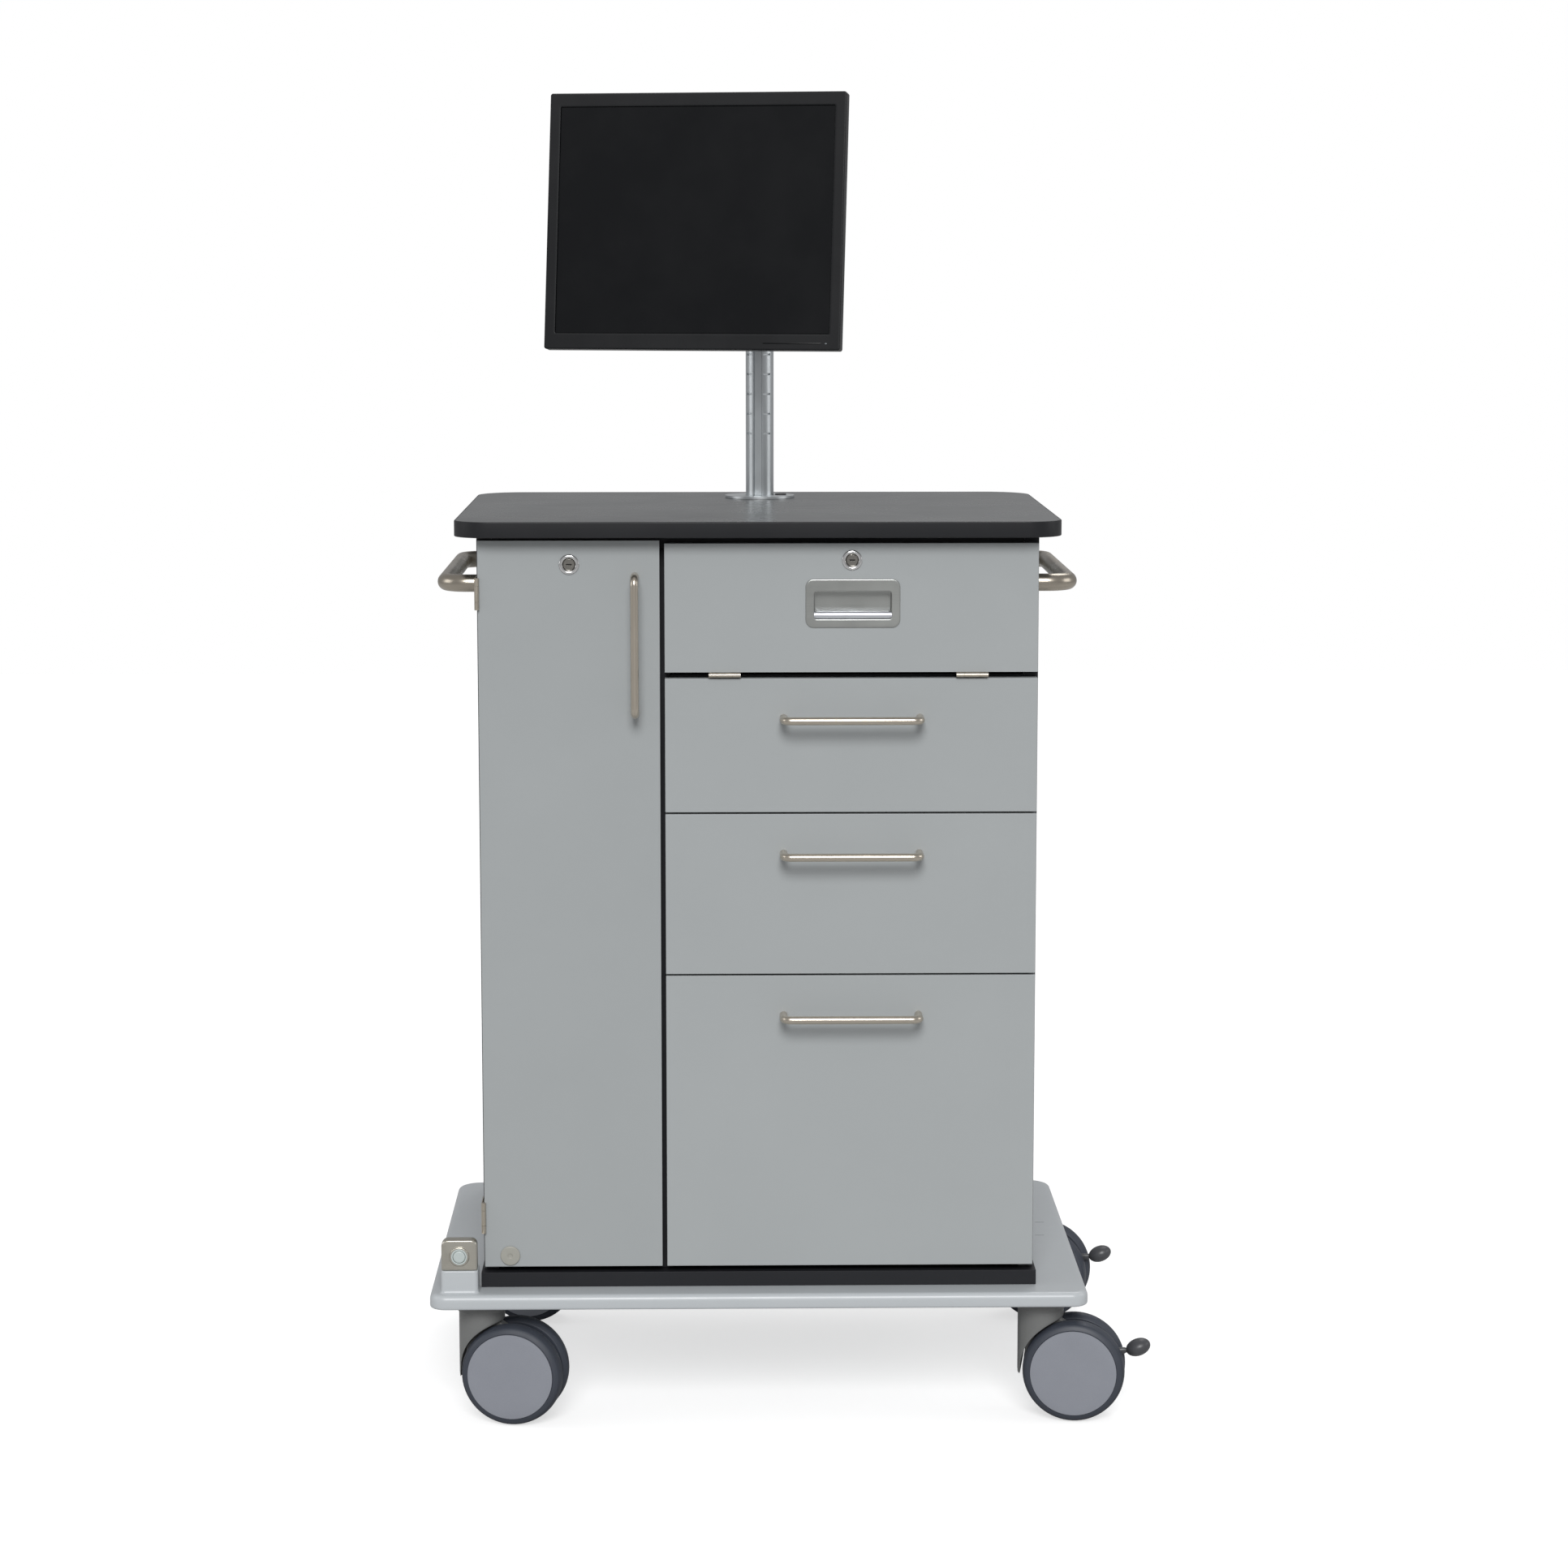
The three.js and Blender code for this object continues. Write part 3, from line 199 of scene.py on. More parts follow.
def stage_floor():
    """A square sheet, 16 m each way, its height 0.5 mm under the wheels all over."""
    across = np.linspace(-8, 8, 9)
    x, y = np.meshgrid(across, across)
    points = np.stack([x, y, np.full_like(x, -0.0005)], -1).reshape(-1, 3)
    start = (np.arange(8)[:, None] * 9 + np.arange(8)).ravel()
    faces = np.stack([start, start + 1, start + 10, start + 9], -1)
    mesh = bpy.data.meshes.new("floor")
    mesh.from_pydata(points.tolist(), [], faces.tolist())
    floor = bpy.data.objects.new("floor", mesh)
    scene.collection.objects.link(floor)
    pale = finish("pale floor", "C6C6C6", "CCCCCC", (0.8, 0.9), broad=(0.8, 0.5), bump=0.02,
                  specular_ior_level=0.1, emission_strength=1.0)
    tree = pale.node_tree
    path = put(tree, "ShaderNodeLightPath")
    glow = put(tree, "ShaderNodeMix", {0: path.outputs["Is Camera Ray"], 6: (0, 0, 0, 1), 7: (0.62, 0.62, 0.62, 1)},
               data_type="RGBA")
    tree.links.new(glow.outputs[2], tree.nodes["Principled BSDF"].inputs["Emission Color"])
    mesh.materials.append(pale)


def soft_box(name, place, target, size, power):
    """A square area light at a place, turned to face a target."""
    lamp = bpy.data.objects.new(name, bpy.data.lights.new(name, "AREA"))
    lamp.data.shape = "SQUARE"
    lamp.data.size = size
    lamp.data.energy = power
    lamp.location = place
    facing = np.array(target) - np.array(place)
    level = math.hypot(facing[0], facing[1])
    lamp.rotation_euler = (math.atan2(level, -facing[2]), 0, math.atan2(facing[1], facing[0]) - math.pi / 2)
    scene.collection.objects.link(lamp)


stage_floor()
key = bpy.data.objects.new("key", bpy.data.lights.new("key", "SUN"))
key.data.energy = 2.2
key.data.angle = math.radians(24)
key.rotation_euler = (math.radians(90 - 33), 0, math.radians(-1))
scene.collection.objects.link(key)
soft_box("left side", (-3.4, -0.4, 1.9), (0.0, 0.0, 0.8), 1.6, 14)
soft_box("right side", (3.4, -0.4, 1.9), (0.0, 0.0, 0.8), 1.6, 14)
soft_box("back", (1.2, 2.6, 4.2), (0.0, 0.0, 0.8), 1.8, 32)
room = bpy.data.worlds.new("even room")
scene.world = room
room.use_nodes = True
seen = put(room.node_tree, "ShaderNodeLightPath")
even = put(room.node_tree, "ShaderNodeMix", {0: seen.outputs["Is Camera Ray"], 6: (0.36, 0.36, 0.365, 1),
                                             7: (1, 1, 1, 1)}, data_type="RGBA")
room.node_tree.links.new(even.outputs[2], room.node_tree.nodes["Background"].inputs["Color"])

# ---------------------------------------------------------------------------------------------
# Base: one moulded plate with soft edges and, at its front left corner, a riser that carries the
# push button. Light grey thermoplastic with the fine skin of its mould.
BASE_THICKNESS = 18 * MM
RISER_MARGIN = 0.8 * MM
RISER_DEPTH = 34 * MM
DRAINS = ((328, 49.5), (323, -15.5))
SEAT = 0.3 * MM


def corner_arcs(x0, x1, y0, y1, radii, steps=10):
    """A rectangle with round corners, anticlockwise: each corner is its centre + r (cos a, sin a)."""
    r = np.broadcast_to(np.asarray(radii, float), (4,))
    centres = np.array([[x0 + r[0], y0 + r[0]], [x1 - r[1], y0 + r[1]],
                        [x1 - r[2], y1 - r[2]], [x0 + r[3], y1 - r[3]]])
    turn = np.radians([180, 270, 0, 90])[:, None] + np.linspace(0, np.pi / 2, steps + 1)
    around = np.stack([np.cos(turn), np.sin(turn)], -1)
    return (centres[:, None] + r[:, None, None] * around).reshape(-1, 2)


def eased(corners, radius, steps=4):
    """A profile with each inner corner b swapped for the curve (1-t)^2 a + 2t(1-t) b + t^2 c, where a
    and c lie a radius to either side of it."""
    corners = np.asarray(corners, float)
    radius = np.broadcast_to(np.asarray(radius, float), (len(corners) - 2,))
    t = np.linspace(0, 1, steps + 1)[:, None]
    rows = [corners[:1]]
    for a, b, c, r in zip(corners, corners[1:], corners[2:], radius):
        back, on = a - b, c - b
        a = b + back * min(1, r / np.linalg.norm(back))
        c = b + on * min(1, r / np.linalg.norm(on))
        rows.append((1 - t) ** 2 * a + 2 * t * (1 - t) * b + t ** 2 * c)
    return np.concatenate([*rows, corners[-1:]])


def rings(plan, profile):
    """Copies of a plan: each is drawn in by a profile row's first value, square to the outline, and lies
    at the height of its second."""
    ahead = np.roll(plan, -1, 0) - plan
    ahead /= np.linalg.norm(ahead, axis=1, keepdims=True)
    outward = np.stack([ahead[:, 1], -ahead[:, 0]], -1)
    before = np.roll(outward, 1, 0)
    corner = (outward + before) / (1 + (outward * before).sum(1, keepdims=True))
    profile = np.asarray(profile, float)
    flat = plan - profile[:, 0, None, None] * corner
    height = np.broadcast_to(profile[:, 1, None, None], (*flat.shape[:2], 1))
    return np.concatenate([flat, height], -1)


def skin(grid, ends=True, loop=False):
    """Points and faces of a closed surface over a (rings, points, 3) grid. Its two ends are flat caps, or
    with loop its last ring joins its first."""
    rows, columns = grid.shape[:2]
    i = np.arange(rows if loop else rows - 1)[:, None]
    j = np.arange(columns)
    after, beside = (i + 1) % rows, (j + 1) % columns
    faces = np.stack(np.broadcast_arrays(i * columns + j, i * columns + beside,
                                         after * columns + beside, after * columns + j), -1)
    faces = faces.reshape(-1, 4).tolist()
    if ends and not loop:
        faces += [j[::-1].tolist(), (j + (rows - 1) * columns).tolist()]
    return grid.reshape(-1, 3), faces


def together(*shapes):
    """Several surfaces as one."""
    starts = np.cumsum([0] + [len(points) for points, _ in shapes])
    faces = [(np.array(face) + start).tolist() for (_, some), start in zip(shapes, starts) for face in some]
    return np.concatenate([points for points, _ in shapes]), faces


def face_outward(shell):
    """Turns each separate part of a mesh to face outwards: its faces are made to agree, then flipped where
    the part's volume, the sum of a . (b x c) / 6 over its triangles, is negative."""
    bmesh.ops.recalc_face_normals(shell, faces=shell.faces)
    for face in shell.faces:
        face.tag = False
    for first in shell.faces:
        if first.tag:
            continue
        part, first.tag = [first], True
        for face in part:
            for beside in [other for edge in face.edges for other in edge.link_faces]:
                if not beside.tag:
                    beside.tag = True
                    part.append(beside)
        volume = 0
        for face in part:
            a, *rest = [corner.co for corner in face.verts]
            volume += sum(a.dot(b.cross(c)) for b, c in zip(rest, rest[1:]))
        if volume < 0:
            bmesh.ops.reverse_faces(shell, faces=part)


def make(name, body, shape, material, node=None, grain=None, crease=32):
    """A piece from points and faces: doubles merged, faces turned outwards, edges sharper than the crease
    kept sharp. It rides on a body, and stands for a node where one is named. Grain is a vector for each
    point, which a finish may read."""
    points, faces = shape
    mesh = bpy.data.meshes.new(name)
    mesh.from_pydata(points.tolist(), [], faces)
    if grain is not None:
        mesh.attributes.new("grain", "FLOAT_VECTOR", "POINT").data.foreach_set("vector", grain.ravel())
    shell = bmesh.new()
    shell.from_mesh(mesh)
    bmesh.ops.remove_doubles(shell, verts=shell.verts, dist=1e-6)
    face_outward(shell)
    shell.to_mesh(mesh)
    shell.free()
    mesh.shade_smooth()
    mesh.set_sharp_from_angle(angle=math.radians(crease))
    mesh.materials.append(material)
    piece = bpy.data.objects.new(name, mesh)
    scene.collection.objects.link(piece)
    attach(piece, body)
    if node:
        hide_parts(node)
    return piece


moulding = finish("base moulding", "AFB4B7", "B8BCBF", (0.32, 0.45), broad=(7.0, 0.5), fine=(900.0, 0.35),
                  bump=0.25, depth=0.00012, coat_weight=0.15, coat_roughness=0.3)

low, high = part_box("base_plate")
base_top = low.z + BASE_THICKNESS
edge = eased([(12 * MM, low.z), (0, low.z), (0, base_top), (12 * MM, base_top)], [3.5 * MM, 8 * MM], 6)
plan = corner_arcs(low.x, high.x, low.y, high.y, np.array([20, 20, 30, 30]) * MM)
make("moulded_base", "cart_body", skin(rings(plan, edge)), moulding, "base_plate")

cover_low, cover_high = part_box("button_cover")
cover_front = cover_low.y + 2 * MM
riser_plan = corner_arcs(cover_low.x - RISER_MARGIN, cover_high.x + RISER_MARGIN, cover_front - RISER_MARGIN,
                         cover_front - RISER_MARGIN + RISER_DEPTH, 5 * MM)
riser_top = cover_low.z - SEAT
riser_edge = eased([(-3.5 * MM, base_top - 0.2 * MM), (0, base_top + 0.2 * MM), (0, riser_top), (4 * MM, riser_top)],
                   [5 * MM, 2 * MM])
make("moulded_riser", "cart_body", skin(rings(riser_plan, riser_edge)), moulding)

# The two drain slots are thin strips flush with the top, painted darker as painted shade for the grooves.
drain_painted_shade = finish("drain slot", "7B7F82", "8A8E91", (0.45, 0.6), broad=(60.0, 0.5), bump=0.1)
drains = []
for x, y in DRAINS:
    plan = corner_arcs((x - 6) * MM, (x + 6) * MM, (y - 0.9) * MM, (y + 0.9) * MM, 0.85 * MM, 4)
    drains.append(skin(rings(plan, [(0, base_top - MM), (0, base_top + 0.06 * MM)])))
make("drain_slots", "cart_body", together(*drains), drain_painted_shade)

# ---------------------------------------------------------------------------------------------
# Cabinet carcass: side panels, back, floor, divider and shelves. The outer boards are faced with a
# light grey laminate, the inner ones with charcoal melamine. All are doweled together and carry a thin
# edge band, so their edges are only just eased.


def carried(node, material, width=0.6, segments=2, angle=35):
    """A copy of a node's mesh: loose triangles merged at shared points, flats made whole again, and edges
    sharper than the angle bevelled by the width in millimetres."""
    source = frame["nodes"][node]
    shell = bmesh.new()
    shell.from_mesh(source.data)
    bmesh.ops.remove_doubles(shell, verts=shell.verts, dist=1e-5)
    bmesh.ops.dissolve_limit(shell, angle_limit=math.radians(0.8), verts=shell.verts, edges=shell.edges)
    face_outward(shell)
    mesh = bpy.data.meshes.new(f"{node}_finished")
    shell.to_mesh(mesh)
    shell.free()
    mesh.shade_smooth()
    mesh.set_sharp_from_angle(angle=math.radians(angle))
    mesh.materials.append(material)
    piece = bpy.data.objects.new(f"{node}_finished", mesh)
    scene.collection.objects.link(piece)
    if width:
        bevel = piece.modifiers.new("eased edges", "BEVEL")
        bevel.width = width * MM
        bevel.segments = segments
        bevel.limit_method = "ANGLE"
        bevel.angle_limit = math.radians(angle)
        bevel.harden_normals = True
    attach(piece, source["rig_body"])
    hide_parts(node)
    return piece


def laminate(name, dark, light):
    """The grey laminate, a shade lighter or darker from board to board."""
    return finish(name, dark, light, (0.36, 0.5), broad=(5.0, 0.45), fine=(1300.0, 0.55), bump=0.12,
                  depth=0.00006, specular_ior_level=0.4)


grey_laminate = laminate("grey laminate", "9A9E9F", "A5A9AA")
charcoal_board = finish("charcoal melamine", "15161A", "212226", (0.5, 0.65), broad=(6.0, 0.4),
                        fine=(1500.0, 0.6), bump=0.1, depth=0.00006, specular_ior_level=0.3)
for node in ("side_panel_left", "side_panel_right", "back_panel"):
    carried(node, grey_laminate, 0.7)
for side in ("left", "right"):
    low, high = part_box(f"side_panel_{side}")
    plan = corner_arcs(low.x + 0.2 * MM, high.x - 0.2 * MM, low.y - 0.7 * MM, low.y + 0.4 * MM, 0.3 * MM, 4)
    make(f"side_edge_band_{side}", "cart_body", skin(rings(plan, [(0, low.z + MM), (0, high.z - MM)])),
         charcoal_board)
for node in ("cabinet_floor", "divider_panel", "cupboard_shelf", "front_top_rail", "laptop_shelf"):
    carried(node, charcoal_board, 0.5)


def turned(profile, centre, steps=64):
    """A surface turned about a line through a centre, that runs towards the front: each row of the profile
    is a radius and a distance in front of the centre. Point = centre + (r cos a, -distance, r sin a)."""
    turn = np.linspace(0, 2 * np.pi, steps, endpoint=False)
    radius, ahead = np.asarray(profile, float).T
    grid = np.stack([radius[:, None] * np.cos(turn), np.broadcast_to(-ahead[:, None], (len(radius), steps)),
                     radius[:, None] * np.sin(turn)], -1)
    return grid + np.asarray(centre)


low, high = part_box("back_panel")
head = eased([(0, 1.1), (2.2, 1.1), (3.6, 0), (3.6, -0.2), (0, -0.2)], [0.6, 0.5, 0.05], 4) * (MM, -MM)
screws = []
for x in (low.x + 9 * MM, (low.x + high.x) / 2, high.x - 9 * MM):
    for z in np.linspace(low.z + 30 * MM, high.z - 30 * MM, 4):
        screws.append(skin(turned(head, (x, high.y, z), 24), ends=False))
zinc_head = finish("screw head", "ACA79C", "C2BDB2", (0.3, 0.42), 1.0, broad=(120.0, 0.5), bump=0.1)
make("back_panel_screws", "cart_body", together(*screws), zinc_head)

# ---------------------------------------------------------------------------------------------
# Worktop: charcoal laminate on board, screwed on from below, with a matching edge band glued round it.
# A hole lets the post and its cable through.
TOP_FRONT_CORNER = 42 * MM
TOP_REAR_CORNER = 58 * MM
HOLE = {"round": 18.4, "right": 33, "corner": 4}
BAND = 1.6 * MM

worktop_laminate = finish("worktop laminate", "484B4C", "515455", (0.27, 0.32), broad=(4.0, 0.35),
                          fine=(1600.0, 0.65), bump=0.14, depth=0.00005, specular_ior_level=0.75)
edge_band = finish("edge band", "18191B", "212225", (0.4, 0.52), broad=(8.0, 0.4), fine=(1200.0, 0.4),
                   bump=0.1, depth=0.00005, specular_ior_level=0.3)

low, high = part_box("worktop")
post_low, post_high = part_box("post")
post_x, post_y = joints["arm_swing"]["pos_m"][:2]
plan = corner_arcs(low.x, high.x, low.y, high.y,
                   np.array([TOP_FRONT_CORNER, TOP_FRONT_CORNER, TOP_REAR_CORNER, TOP_REAR_CORNER]), 16)
hole = corner_arcs(post_x - HOLE["round"] * MM, post_x + HOLE["right"] * MM, post_y - HOLE["round"] * MM,
                   post_y + HOLE["round"] * MM, HOLE["corner"] * MM, 16)
board = rings(plan, [(BAND + 0.2 * MM, low.z), (BAND + 0.05 * MM, low.z + 0.2 * MM),
                     (BAND + 0.05 * MM, high.z - 0.2 * MM), (BAND + 0.2 * MM, high.z)])
board = np.concatenate([board, rings(hole, [(0, high.z), (0, low.z)])])
make("worktop_board", "cart_body", skin(board, loop=True), worktop_laminate, "worktop")
band = eased([(BAND, low.z), (0, low.z), (0, high.z), (BAND, high.z)], 1.3 * MM, 5)
band = [*band, (BAND, high.z - 0.1 * MM), (BAND, low.z + 0.1 * MM)]
make("worktop_edge_band", "cart_body", skin(rings(plan, band), loop=True), edge_band)

# ---------------------------------------------------------------------------------------------
# Locks, hinges and the cupboard door. The door is a laminated board on two zinc-plated butt hinges. Its
# cam lock is a chromed rim pressed in the board with a dished plug, and a plastic cap covers a screw.
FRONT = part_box("cupboard_door")[0].y


def about(centre, points):
    """For each point the grain of a turned face: its radius about the centre, its height, its depth."""
    away = points - np.asarray(centre)
    return np.stack([np.hypot(away[:, 0], away[:, 2]), away[:, 2] * 0.2, away[:, 1]], -1)


def lock(body, plug_body, rim_node, plug_node):
    """A turned rim, and the plug with its keyway: a near-black block in the slot, painted shade for its depth."""
    centre = np.array(joints[f"{plug_body}_turn"]["pos_m"])
    centre[1] = FRONT
    profile = eased([(7.2, -6), (7.2, 0.2), (8.6, 2.2), (11.2, 2.2), (12.1, 0.9), (12.1, 0.3), (9.6, 0.3), (9.6, -9)],
                    [0.2, 1.4, 1.6, 0.6, 0.1, 0.1], 6) * MM
    shape = skin(turned([*profile, (7.2 * MM, -9 * MM)], centre), loop=True)
    make(rim_node + "_finished", body, shape, chrome, rim_node, about(centre, shape[0]))
    carried(plug_node, chrome_plug, 0.25, 2, 30)
    way = corner_arcs(-3.4, 3.4, -0.85, 0.85, 0.8, 6) * MM
    points, faces = skin(rings(way, [(-0.05 * MM, -2.8 * MM), (-0.05 * MM, -0.2 * MM), (0.15 * MM, -0.1 * MM)]))
    points = np.stack([points[:, 0] + centre[0], centre[1] - points[:, 2], points[:, 1] + centre[2]], -1)
    make(plug_node.replace("plug", "keyway"), plug_body, (points, faces), keyway_shadow)


door_laminate = laminate("door laminate", "989C9D", "A3A7A8")
chrome = finish("turned chrome", "D6D6D6", "ECECEC", (0.14, 0.26), 1.0, drawn=((2600.0, 2.0, 2.0), 0.8),
                bump=0.1, depth=0.00004, source="grain")
chrome_plug = finish("chromed plug", "8E8B85", "A5A29C", (0.2, 0.32), 1.0, broad=(60.0, 0.4), bump=0.08,
                     depth=0.00004)
# The keyway block is near-black: painted shade standing in for the depth of the key slot.
keyway_shadow = finish("keyway", "101010", "1B1B1B", (0.5, 0.6), broad=(200.0, 0.5), bump=0.1)
zinc = finish("zinc plate", "B5AD9F", "CAC2B4", (0.28, 0.45), 1.0, broad=(90.0, 0.7), fine=(1800.0, 0.5),
              bump=0.12, depth=0.00005)
pale_plastic = finish("pale plastic", "96958D", "A2A199", (0.3, 0.42), broad=(40.0, 0.5), bump=0.1)

carried("cupboard_door", door_laminate, 0.8)
lock("door", "door_lock", "door_lock_rim", "door_lock_plug")
for level in ("upper", "lower"):
    carried(f"door_hinge_leaf_{level}", zinc, 0.5)
    carried(f"door_hinge_{level}", zinc, 0.5)
low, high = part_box("door_cover_cap")
middle = (low + high) / 2
reach = (high.x - low.x) / 2
cap = eased([(0, -low.y - 0.7 * MM), (2.6 * MM, -low.y - 0.7 * MM), (3 * MM, -low.y), (reach, -low.y),
             (reach, -high.y), (0, -high.y)], [0.4 * MM, 0.4 * MM, 1.6 * MM, 0.2 * MM], 5)
make("cover_cap", "door", skin(turned(cap, (middle.x, 0, middle.z)), ends=False), pale_plastic,
     "door_cover_cap")

# ---------------------------------------------------------------------------------------------
# Drop-down flap over the laptop compartment, with its own lock and hinges. Its recessed pull is a pressed
# aluminium plate with a cup behind it and a rolled lip along its foot.
CUP = {"opening": (92, 33), "rise": 10.2, "depth": 13, "wall": 1.2, "corner": 9.5}

flap_laminate = laminate("flap laminate", "9B9FA0", "A6AAAB")
anodised = finish("satin anodised", "A3A5A2", "B7B9B6", (0.3, 0.42), 1.0, drawn=((6.0, 6.0, 2400.0), 0.9),
                  bump=0.1, depth=0.00004)
# The lip's finish is the plate's anodising painted much lighter: a painted highlight where its rolled top catches the
# light.
lip_painted_highlight = finish("lip anodised", "D2D4DA", "E4E6EC", (0.36, 0.46), 1.0, drawn=((6.0, 1800.0, 1800.0), 0.7),
                      bump=0.08, depth=0.00003)
carried("flap_panel", flap_laminate, 0.8)
lock("flap", "flap_lock", "flap_lock_rim", "flap_lock_plug")
for side in ("left", "right"):
    carried(f"flap_hinge_leaf_{side}", zinc, 0.5)
    carried(f"flap_hinge_{side}", zinc, 0.5)


def recess_pull():
    """Rings from the back of the cup, out over the plate's rim and face, to the cup's floor: each ring is
    a round-cornered rectangle of the plate or the opening, set in and at a depth."""
    low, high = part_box("flap_recess_pull")
    x, foot = (low.x + high.x) / 2, low.z
    half = CUP["opening"][0] / 2 * MM
    base = foot + CUP["rise"] * MM
    plate = corner_arcs(low.x, high.x, foot, high.z, CUP["corner"] * MM, 10)
    opening = corner_arcs(x - half, x + half, base, base + CUP["opening"][1] * MM, 3 * MM, 10)
    face = 1.5 * MM
    rim = eased([(0, 0.3 * MM), (0, face), (3 * MM, face)], 1.2 * MM, 5)
    wall, deep = CUP["wall"] * MM, -CUP["depth"] * MM
    inner = eased([(-2 * MM, face), (0, face), (0, deep), (2 * MM, deep)], [1.2 * MM, 1.8 * MM], 5)
    stack = np.concatenate([
        rings(opening, [(-wall, deep - wall), (-wall, 0.3 * MM)]), rings(plate, rim), rings(opening, inner)])
    points, faces = skin(stack)
    points = np.stack([points[:, 0], FRONT - points[:, 2], points[:, 1]], -1)
    lip = eased([(0, -half - 0.6 * MM), (4.8 * MM, -half - 0.6 * MM), (4.8 * MM, half + 0.6 * MM),
                 (0, half + 0.6 * MM)], 0.5 * MM, 3)
    roll = turned(lip, (0, 0, 0), 40)
    roll = np.stack([roll[..., 1] + x, roll[..., 0] + FRONT + 3.3 * MM, roll[..., 2] + base + 4.5 * MM], -1)
    make("recess_pull", "flap", (points, faces), anodised, "flap_recess_pull")
    # The rolled lip takes the lighter finish, its painted highlight.
    make("recess_lip", "flap", skin(roll, ends=False), lip_painted_highlight)


recess_pull()

# ---------------------------------------------------------------------------------------------
# Drawers: three laminated fronts, each with a powder-coated steel tray that runs in two folded runner
# frames. Each front and the door has a D pull bent from round bar and screwed on from behind.
PULL = {"span": 163, "stand": 32, "radius": 4.8, "bend": 9}

drawer_laminate = laminate("drawer laminate", "9B9FA0", "A6AAAB")
brushed = finish("brushed bar", "BFB6A8", "D3CABC", (0.28, 0.38), 1.0, drawn=((900.0, 900.0, 25.0), 0.8),
                 bump=0.06, depth=0.00003, source="grain")
powder = finish("tray powder coat", "BCC1C1", "C6CBCB", (0.4, 0.52), broad=(15.0, 0.3), fine=(1500.0, 0.5),
                bump=0.25, depth=0.00008)


def bow(span, stand, bend, steps=12):
    """Centre line of a bar bent in a flat U, as (along, out): straight legs at both ends of the span, and
    between them quarter circles of the bend's radius up to the stand."""
    turn = np.linspace(0, np.pi / 2, steps + 1)
    corner = np.stack([bend * (1 - np.cos(turn)) - span / 2, stand - bend * (1 - np.sin(turn))], -1)
    legs = np.linspace(0, stand - bend, 5)[:-1]
    first = np.concatenate([np.stack([np.full_like(legs, -span / 2), legs], -1), corner])
    along = np.linspace(bend - span / 2, span / 2 - bend, 17)[1:-1]
    across = np.stack([along, np.full_like(along, stand)], -1)
    return np.concatenate([first, across, first[::-1] * (-1, 1)])


def rod(path, foot, along, out, radius, steps=32):
    """A round bar on a path of (along, out) places: each ring is foot + path + r (cos a, sin a) square to
    the path. Also its grain, which is (r cos a, r sin a, length along the bar)."""
    along, out = np.asarray(along, float), np.asarray(out, float)
    centre = np.asarray(foot) + path[:, :1] * along + path[:, 1:] * out
    ahead = np.gradient(centre, axis=0)
    ahead /= np.linalg.norm(ahead, axis=1, keepdims=True)
    level = np.cross(along, out)
    upward = np.cross(level, ahead)
    turn = np.linspace(0, 2 * np.pi, steps, endpoint=False)[:, None]
    spoke = np.cos(turn) * upward[:, None] + np.sin(turn) * level
    length = np.cumsum(np.r_[0, np.linalg.norm(np.diff(centre, axis=0), axis=1)])
    circle = np.broadcast_to(radius * np.concatenate([np.cos(turn), np.sin(turn)], 1), (len(path), steps, 2))
    grain = np.concatenate([circle, np.broadcast_to(length[:, None, None], (len(path), steps, 1))], -1)
    return centre[:, None] + radius * spoke, grain.reshape(-1, 3)


def pull(node, body, along):
    """A D pull whose legs stand on a front, in the middle of its node's box."""
    low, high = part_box(node)
    foot = np.array((low + high) / 2)
    foot[1] = high.y
    path = bow(*(PULL[key] * MM for key in ("span", "stand", "bend")))
    grid, grain = rod(path, foot, along, (0, -1, 0), PULL["radius"] * MM)
    make(f"{node}_bar", body, skin(grid), brushed, node, grain)


pull("door_pull", "door", (0, 0, 1))
for name in ("upper", "middle", "deep"):
    carried(f"{name}_drawer_front", drawer_laminate, 0.8)
    carried(f"{name}_drawer_tray", powder, 0.5)
    pull(f"{name}_drawer_pull", f"{name}_drawer", (1, 0, 0))
for side in ("left", "right"):
    carried(f"runner_frame_{side}", zinc, 0.3)

# ---------------------------------------------------------------------------------------------
# Push handles: one on each side of the cabinet, a thick brushed steel tube bent in a flat U and screwed
# to the side panel from inside.
HANDLE = {"span": 361, "stand": 39.5, "radius": 10.5, "bend": 28}

# The tubes take the pulls' brushed steel painted darker: painted shade for the dim reflections along the cart's
# sides.
tube_steel_painted_shade = finish("brushed tube", "A39B8E", "C0B8AB", (0.26, 0.4), 1.0, drawn=((700.0, 700.0, 12.0), 1.0),
                    bump=0.1, depth=0.00004, source="grain")
for side, outward in (("left", -1), ("right", 1)):
    low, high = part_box(f"push_handle_{side}")
    foot = np.array((low + high) / 2)
    foot[0] = high.x if outward < 0 else low.x
    path = bow(*(HANDLE[key] * MM for key in ("span", "stand", "bend")))
    grid, grain = rod(path, foot, (0, 1, 0), (outward, 0, 0), HANDLE["radius"] * MM, 48)
    make(f"push_handle_{side}_tube", "cart_body", skin(grid), tube_steel_painted_shade, f"push_handle_{side}",
         grain)

